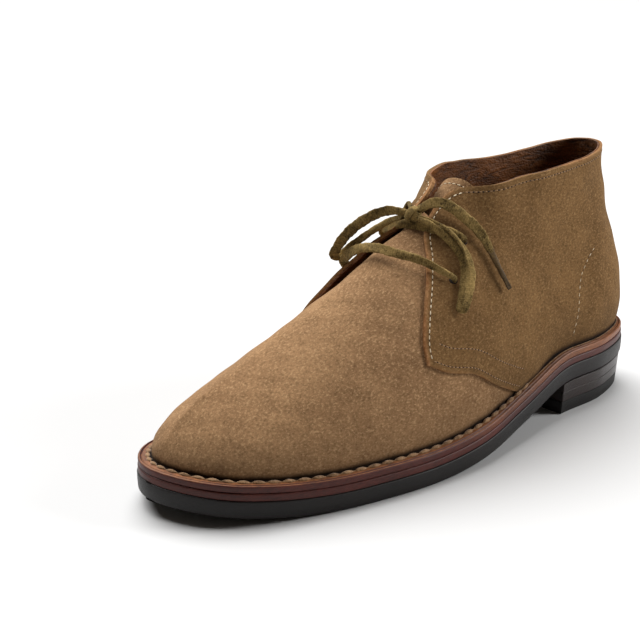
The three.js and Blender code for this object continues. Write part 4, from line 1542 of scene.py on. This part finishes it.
# %% [markdown]
# ## The bottom
# Welt, middle sole and outsole are layers with their own edge profile, trimmed and rounded
# together. Spinning a profile works only round a circle. So a profile is a short list of inset
# and height, and the layer is a grid whose rows follow it all round the sole edge.

# %% Rings round the sole edge
ROUND = 720


def round_way(a):
    """Side and way at a fraction of the whole edge, outer side first."""
    side = np.where(a <= 0.5, 1.0, -1.0)
    return side, np.where(a <= 0.5, 2 * a, 2 - 2 * a)


def sole_ring(name, profile):
    """profile: rows of inset, height over the underside, share of the way to the middle line.

    An inset below 0 is a share of the last's own margin, in thousandths.
    """
    rows = np.array(profile, float)

    def place(a, b):
        side, way = round_way(a)
        k = np.rint(b * (len(rows) - 1)).astype(int)
        inset, height, centre = rows[k].T
        margin = np.where(inset < 0, -inset * 1000 * rib(1, way), inset)
        p = inset_edge(side, way, margin)
        middle = (edge_point(1, way) + edge_point(-1, way)) / 2
        p = p * (1 - centre[:, None]) + middle * centre[:, None]
        return in_frame(p[:, 0], p[:, 1], underside(p[:, 0]) + height)

    return laid(name, ROUND, len(rows) - 1, place, flip=True, merge=True)


def sharpen(piece, degrees=38):
    pick(piece)
    bpy.ops.object.shade_smooth_by_angle(angle=math.radians(degrees))


def turned(radius, x, z, start, end, steps=4):
    """Rows of an arc of a profile about x, z; degrees, 0 pointing inwards and 90 up."""
    angles = np.radians(np.linspace(start, end, steps + 1))
    return [(x + radius * math.cos(t), z + radius * math.sin(t), 0) for t in angles]


print("points round a layer", ROUND)


# %% [markdown]
# ### Outsole
# The outsole is the thick layer one walks on. Its lower edge is well rounded, and a shallow
# channel runs round its underside, where the sole's seam lies hidden.

# %% Outsole
outsole_profile = (
    [(0, 0, 1), (0, 0, 0.5), (0.012, 0, 0)]
    + [(0.0046, 0, 0), (0.0042, 0.0005, 0), (0.0034, 0.0005, 0), (0.0030, 0, 0)]
    + turned(0.0014, 0.0016, 0.0014, 270, 180)
    + [(0.0, 0.0045, 0)]
    + turned(0.0006, 0.0006, OUTSOLE - 0.0006, 180, 90, 3)
    + [(0.010, OUTSOLE, 0), (0, OUTSOLE, 0.5), (0, OUTSOLE, 1)]
)
outsole = sole_ring("outsole_shaped", outsole_profile)
sharpen(outsole)
finish_piece(outsole, "sole_edge", SOLE_EDGE)
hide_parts("outsole")


# %% [markdown]
# ### Middle sole
# A thin layer lies between welt and outsole. Both of its edges are rounded, and that leaves the
# fine dark grooves that part the layers.

# %% Middle sole
low = OUTSOLE + 0.0001
high = OUTSOLE + GAP + MIDSOLE
midsole_profile = (
    [(0.012, low, 0)]
    + turned(0.0005, 0.0009, low + 0.0005, 270, 180, 3)
    + turned(0.0007, 0.0011, high - 0.0007, 180, 90, 3)
    + [(0.012, high, 0), (0.012, low, 0)]
)
midsole = sole_ring("midsole_shaped", midsole_profile)
sharpen(midsole)
finish_piece(midsole, "midsole_edge", MAHOGANY)
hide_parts("midsole")


# %% [markdown]
# ### Welt
# The welt is a leather strip sewn round the last's edge, which holds upper and sole together. Its
# outer edge is rounded like a rope and has a small groove on top. It isn't closed in the middle,
# because the foot's sock and filler lie there.

# %% Welt
welt_profile = (
    [(0.013, WELT_LOW - 0.0002, 0)]
    + turned(0.0006, 0.0012, WELT_LOW + 0.0004, 270, 180, 3)
    + turned(0.0009, 0.0015, WELT_TOP - 0.0010, 180, 90, 5)
    + [(0.0021, WELT_TOP - 0.0006, 0), (0.0026, WELT_TOP - 0.0001, 0)]
    + [(0.0045, WELT_TOP + 0.0001, 0), (0.013, WELT_TOP - 0.0002, 0), (0.013, WELT_LOW - 0.0002, 0)]
)
welt = sole_ring("welt_shaped", welt_profile)
finish_piece(welt, "welt_leather", WELT_PAINT, WELT_EDGE)
for face in welt.data.polygons:
    # the trimmed edge and its rounded lip are stained with the middle sole
    face.material_index = int(face.normal.z < 0.75)
sharpen(welt)
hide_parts("welt")


# %% [markdown]
# ### The corded seam
# A coarse thread runs round the crease between welt and upper. Each stitch stands as a soft bump,
# so the seam is a rope whose section swells and shrinks at the stitch pitch. Separate stitches
# would leave gaps, where the real thread dips but doesn't end.

# %% Corded seam
CORD_PITCH = 0.0072
CORD_STEPS = 1200
CORD_PLACE = 0.62              # share of the way from the welt's edge to the upper
CORD_END, CORD_FADE = 0.345, 0.03         # way at which the quarters begin to bury it
EDGE_LENGTH = sum(run_of(half)[-1] for _, half in HALF_EDGES.values())


def cord_place(a, b):
    side, way = round_way(a)
    stitches = round(EDGE_LENGTH / CORD_PITCH)
    beat = np.clip(1.25 * np.abs(np.sin(math.pi * a * stitches)) - 0.25, 0, 1) ** 0.8
    inset = CORD_PLACE * rib(1, way)
    # the thread shows from the toe back to the quarters, and is buried behind them
    radius = 0.0002 + 0.0009 * beat * ease((way - CORD_END) / CORD_FADE)
    angle = 2 * math.pi * b
    p = inset_edge(side, way, inset - radius * np.cos(angle) * 1.15)
    height = underside(p[:, 0]) + WELT_TOP + 0.0001 + radius * np.sin(angle)
    return in_frame(p[:, 0], p[:, 1], height)


cord_seam = laid("welt_cord", CORD_STEPS, 10, cord_place, merge=True, flip=True)
finish_piece(cord_seam, "suede", RAND)


# %% [markdown]
# ### The painted crease shade
# Where the upper turns in under itself, a narrow gap is left. A small three-cornered strip in a
# near-black finish fills it all round as painted shade, so that no light falls through between
# upper and welt.

# %% Painted crease shade
crease_profile = [
    (-0.00125, WELT_TOP - 0.0006, 0), (-0.00070, WELT_TOP - 0.0006, 0),
    (-0.00070, WELT_TOP + 0.0002, 0), (-0.00085, WELT_TOP + 0.0004, 0),
    (-0.00125, WELT_TOP + 0.0022, 0), (-0.00125, WELT_TOP - 0.0006, 0),
]
crease = sole_ring("welt_crease", crease_profile)
finish_piece(crease, "welt_leather", CREASE_SHADE)


# %% [markdown]
# ## The heel
# A stacked heel is leather lifts glued one on another, with a rubber top piece on the floor. All
# follow the sole's back edge, a little further in towards the floor, and end in a straight
# breast. The outline comes first; a bevelled block would have the wrong curve at the back.

# %% Heel outline
TOP_PIECE = 0.0065
HEEL_SET, HEEL_TAPER = 0.0008, 0.0016
HEEL_POINTS = 400              # points round the outline


def heel_outline(taper, count):
    """Closed outline of the heel: round the back, then across the breast."""
    rows = []
    for side, order in ((-1, -1), (1, 1)):
        ways = np.linspace(0, 0.4, HEEL_POINTS)
        p = inset_edge(side, ways, np.full(HEEL_POINTS, taper))
        p = p[p[:, 0] < BREAST]
        last = p[-1] + (p[-1] - p[-2]) * (BREAST - p[-1][0]) / (p[-1][0] - p[-2][0])
        rows.append(np.vstack([p, last])[::order])
    loop = np.vstack([rows[0], rows[1][1:]])
    closing = np.linspace(loop[-1], loop[0], 24)[1:]
    loop = np.vstack([loop, closing])
    run = run_of(loop)
    return read_rows(np.linspace(0, run[-1], count), run, loop)


print("round the heel", round(float(run_of(heel_outline(HEEL_SET, 200))[-1]), 4))


# %% [markdown]
# ### Lifts and top piece
# A block is a stack of outlines, from the floor up. Each row gives a height and how far the
# outline is drawn in there, so a rounded corner or the groove between two lifts is just one more
# row.

# %% Heel blocks
def heel_block(name, levels):
    """levels: rows of height and extra inset, from the lowest to the highest."""
    count = HEEL_POINTS
    outlines = []
    for k, (z, extra) in enumerate(levels):
        taper = HEEL_SET + HEEL_TAPER * (1 - z / HEEL_RISE) + extra
        p = heel_outline(taper, count + 1)
        p[:, 0] = np.minimum(p[:, 0], BREAST - extra)
        roof = underside(p[:, 0]) - GAP - 0.00004 * (len(levels) - 1 - k)
        outlines.append(in_frame(p[:, 0], p[:, 1], np.minimum(z, roof)))
    lid = [outlines[k].mean(axis=0) + 0 * outlines[k] for k in (0, -1)]
    rows = np.array([lid[0]] + outlines + [lid[1]])

    def place(a, b):
        i = np.rint(a * count).astype(int)
        k = np.rint(b * (len(rows) - 1)).astype(int)
        return rows[k, i]

    piece = laid(name, count, len(rows) - 1, place, merge=True, flip=True)
    sharpen(piece, 30)
    return piece


top_piece = heel_block("heel_top_piece_shaped", [
    (0, 0.0006), (0.0002, 0.0002), (0.0006, 0), (0.0059, 0), (0.0063, 0.0001), (TOP_PIECE, 0.0004),
])
finish_piece(top_piece, "top_piece_rubber", TREAD)
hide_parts("heel_top_piece")
lift_levels = [(TOP_PIECE + GAP, 0.0004)]
for z in (0.0070, 0.0123):
    lift_levels += [(z, 0), (z + 0.0048, 0), (z + 0.0050, 0.00025), (z + 0.0052, 0)]
lift_levels = [row for row in lift_levels if row[0] < HEEL_RISE - GAP] + [(HEEL_RISE - GAP, 0)]
stack = heel_block("heel_stack_shaped", lift_levels)
finish_piece(stack, "heel_leather", HEEL_EDGE)
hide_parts("heel_stack")


# %% [markdown]
# ## The sock inside
# A sheet of smooth leather covers the insole, so the foot doesn't touch the seams. It spans the
# boot from wall to wall and is a little higher in the middle. Only a glimpse of it is seen
# through the collar, but from above it closes the boot.

# %% Sock
SOCK_TOP = WELT_TOP + 0.0032


def sock_place(a, b):
    inset = rib(1, a) + 0.0026
    outer, inner = (inset_edge(side, a, inset) for side in (1, -1))
    p = inner + (outer - inner) * b[:, None]
    crown = 0.0008 * np.sin(math.pi * b)
    return in_frame(p[:, 0], p[:, 1], underside(p[:, 0]) + SOCK_TOP + crown)


sock = laid("sock", 120, 24, sock_place, merge=True)
wall(sock, 0.0010, (SOCK,), round_off=0)
finish_piece(sock, "insole_leather", SOCK)
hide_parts("insole")


# %% [markdown]
# ## Dressing the laces
# Every run of lace, the knot and the tips get their finish, and the imported pieces they stand
# for are hidden. The two loops and the two ends hang free.

def dress(piece, slot_name, paint, replaced):
    finish_piece(piece, slot_name, paint)
    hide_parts(replaced)


for name, replaced in (("lace_lower_run", "lace_lower_bar"), ("lace_upper_run", "lace_upper_bar")):
    dress(laces[name][0], "lace", LACE_CLOTH, replaced)
for piece in (knot, band):
    dress(piece, "lace", LACE_CLOTH, "lace_knot")
for name, replaced in (("lace_tip_a", "lace_tip_outer"), ("lace_tip_b", "lace_tip_inner")):
    dress(laces[name][0], "lace_tip", LACE_TIP, replaced)
for name, far_end, replaced, tips in (
    ("lace_inner_bow", "knot", "lace_loop_inner", ()),
    ("lace_outer_bow", "knot", "lace_loop_outer", ()),
    ("lace_outer_tail", "fitting", "lace_end_outer", ("lace_tip_a",)),
    ("lace_inner_tail", "fitting", "lace_end_inner", ("lace_tip_b",)),
):
    piece, path = laces[name]
    dress(piece, "lace", LACE_CLOTH, replaced)


# %% [markdown]
# ## Light and floor
# The floor is a plain pale plane, wide enough that its end is never seen. A wide soft sun stands
# for a big overhead lamp: it keeps the floor even from edge to edge, which small lamps can't.

# %% Floor
FLOOR_SIZE = 40
deselect()
bpy.ops.mesh.primitive_plane_add(size=FLOOR_SIZE, location=(0, 0, 0))
floor = bpy.context.object
floor.name = "floor"
floor_paint = Paint("floor_paint", Base_Color=(0.52, 0.52, 0.52, 1), Roughness=0.9)
floor.data.materials.append(floor_paint.material)
report(floor)


# %% [markdown]
# ### Lamps
# The sun stands high on the inner side, so the outer wall stays darker than the toe and the top.
# A disk behind the heel draws a soft light edge there, and a faint warm world fills the shadows.

# %% Lamps
world = bpy.data.worlds.new("studio")
bpy.context.scene.world = world
world.use_nodes = True
world.node_tree.nodes["Background"].inputs["Color"].default_value = (1, 0.88, 0.74, 1)
world.node_tree.nodes["Background"].inputs["Strength"].default_value = 0.08
bpy.context.scene.view_settings.view_transform = "Standard"


def aimed(name, kind, place, aim, power):
    data = bpy.data.lights.new(name, kind)
    data.energy = power
    light = bpy.data.objects.new(name, data)
    bpy.context.scene.collection.objects.link(light)
    direction = Vector(aim) - Vector(place)
    turn = direction.to_track_quat("-Z", "Y").to_matrix().to_4x4()
    light.matrix_world = Matrix.Translation(place) @ turn
    return data


overhead = aimed("overhead", "SUN", (-0.58, 0.14, 1.0), (0, 0, 0), 6.4)
overhead.angle = math.radians(60)
behind = aimed("behind_heel", "AREA", (0.68, 0.82, 0.55), (0.02, 0.05, 0.05), 11)
behind.shape = "DISK"
behind.size = 0.5
print("lamps", overhead.energy, behind.energy)
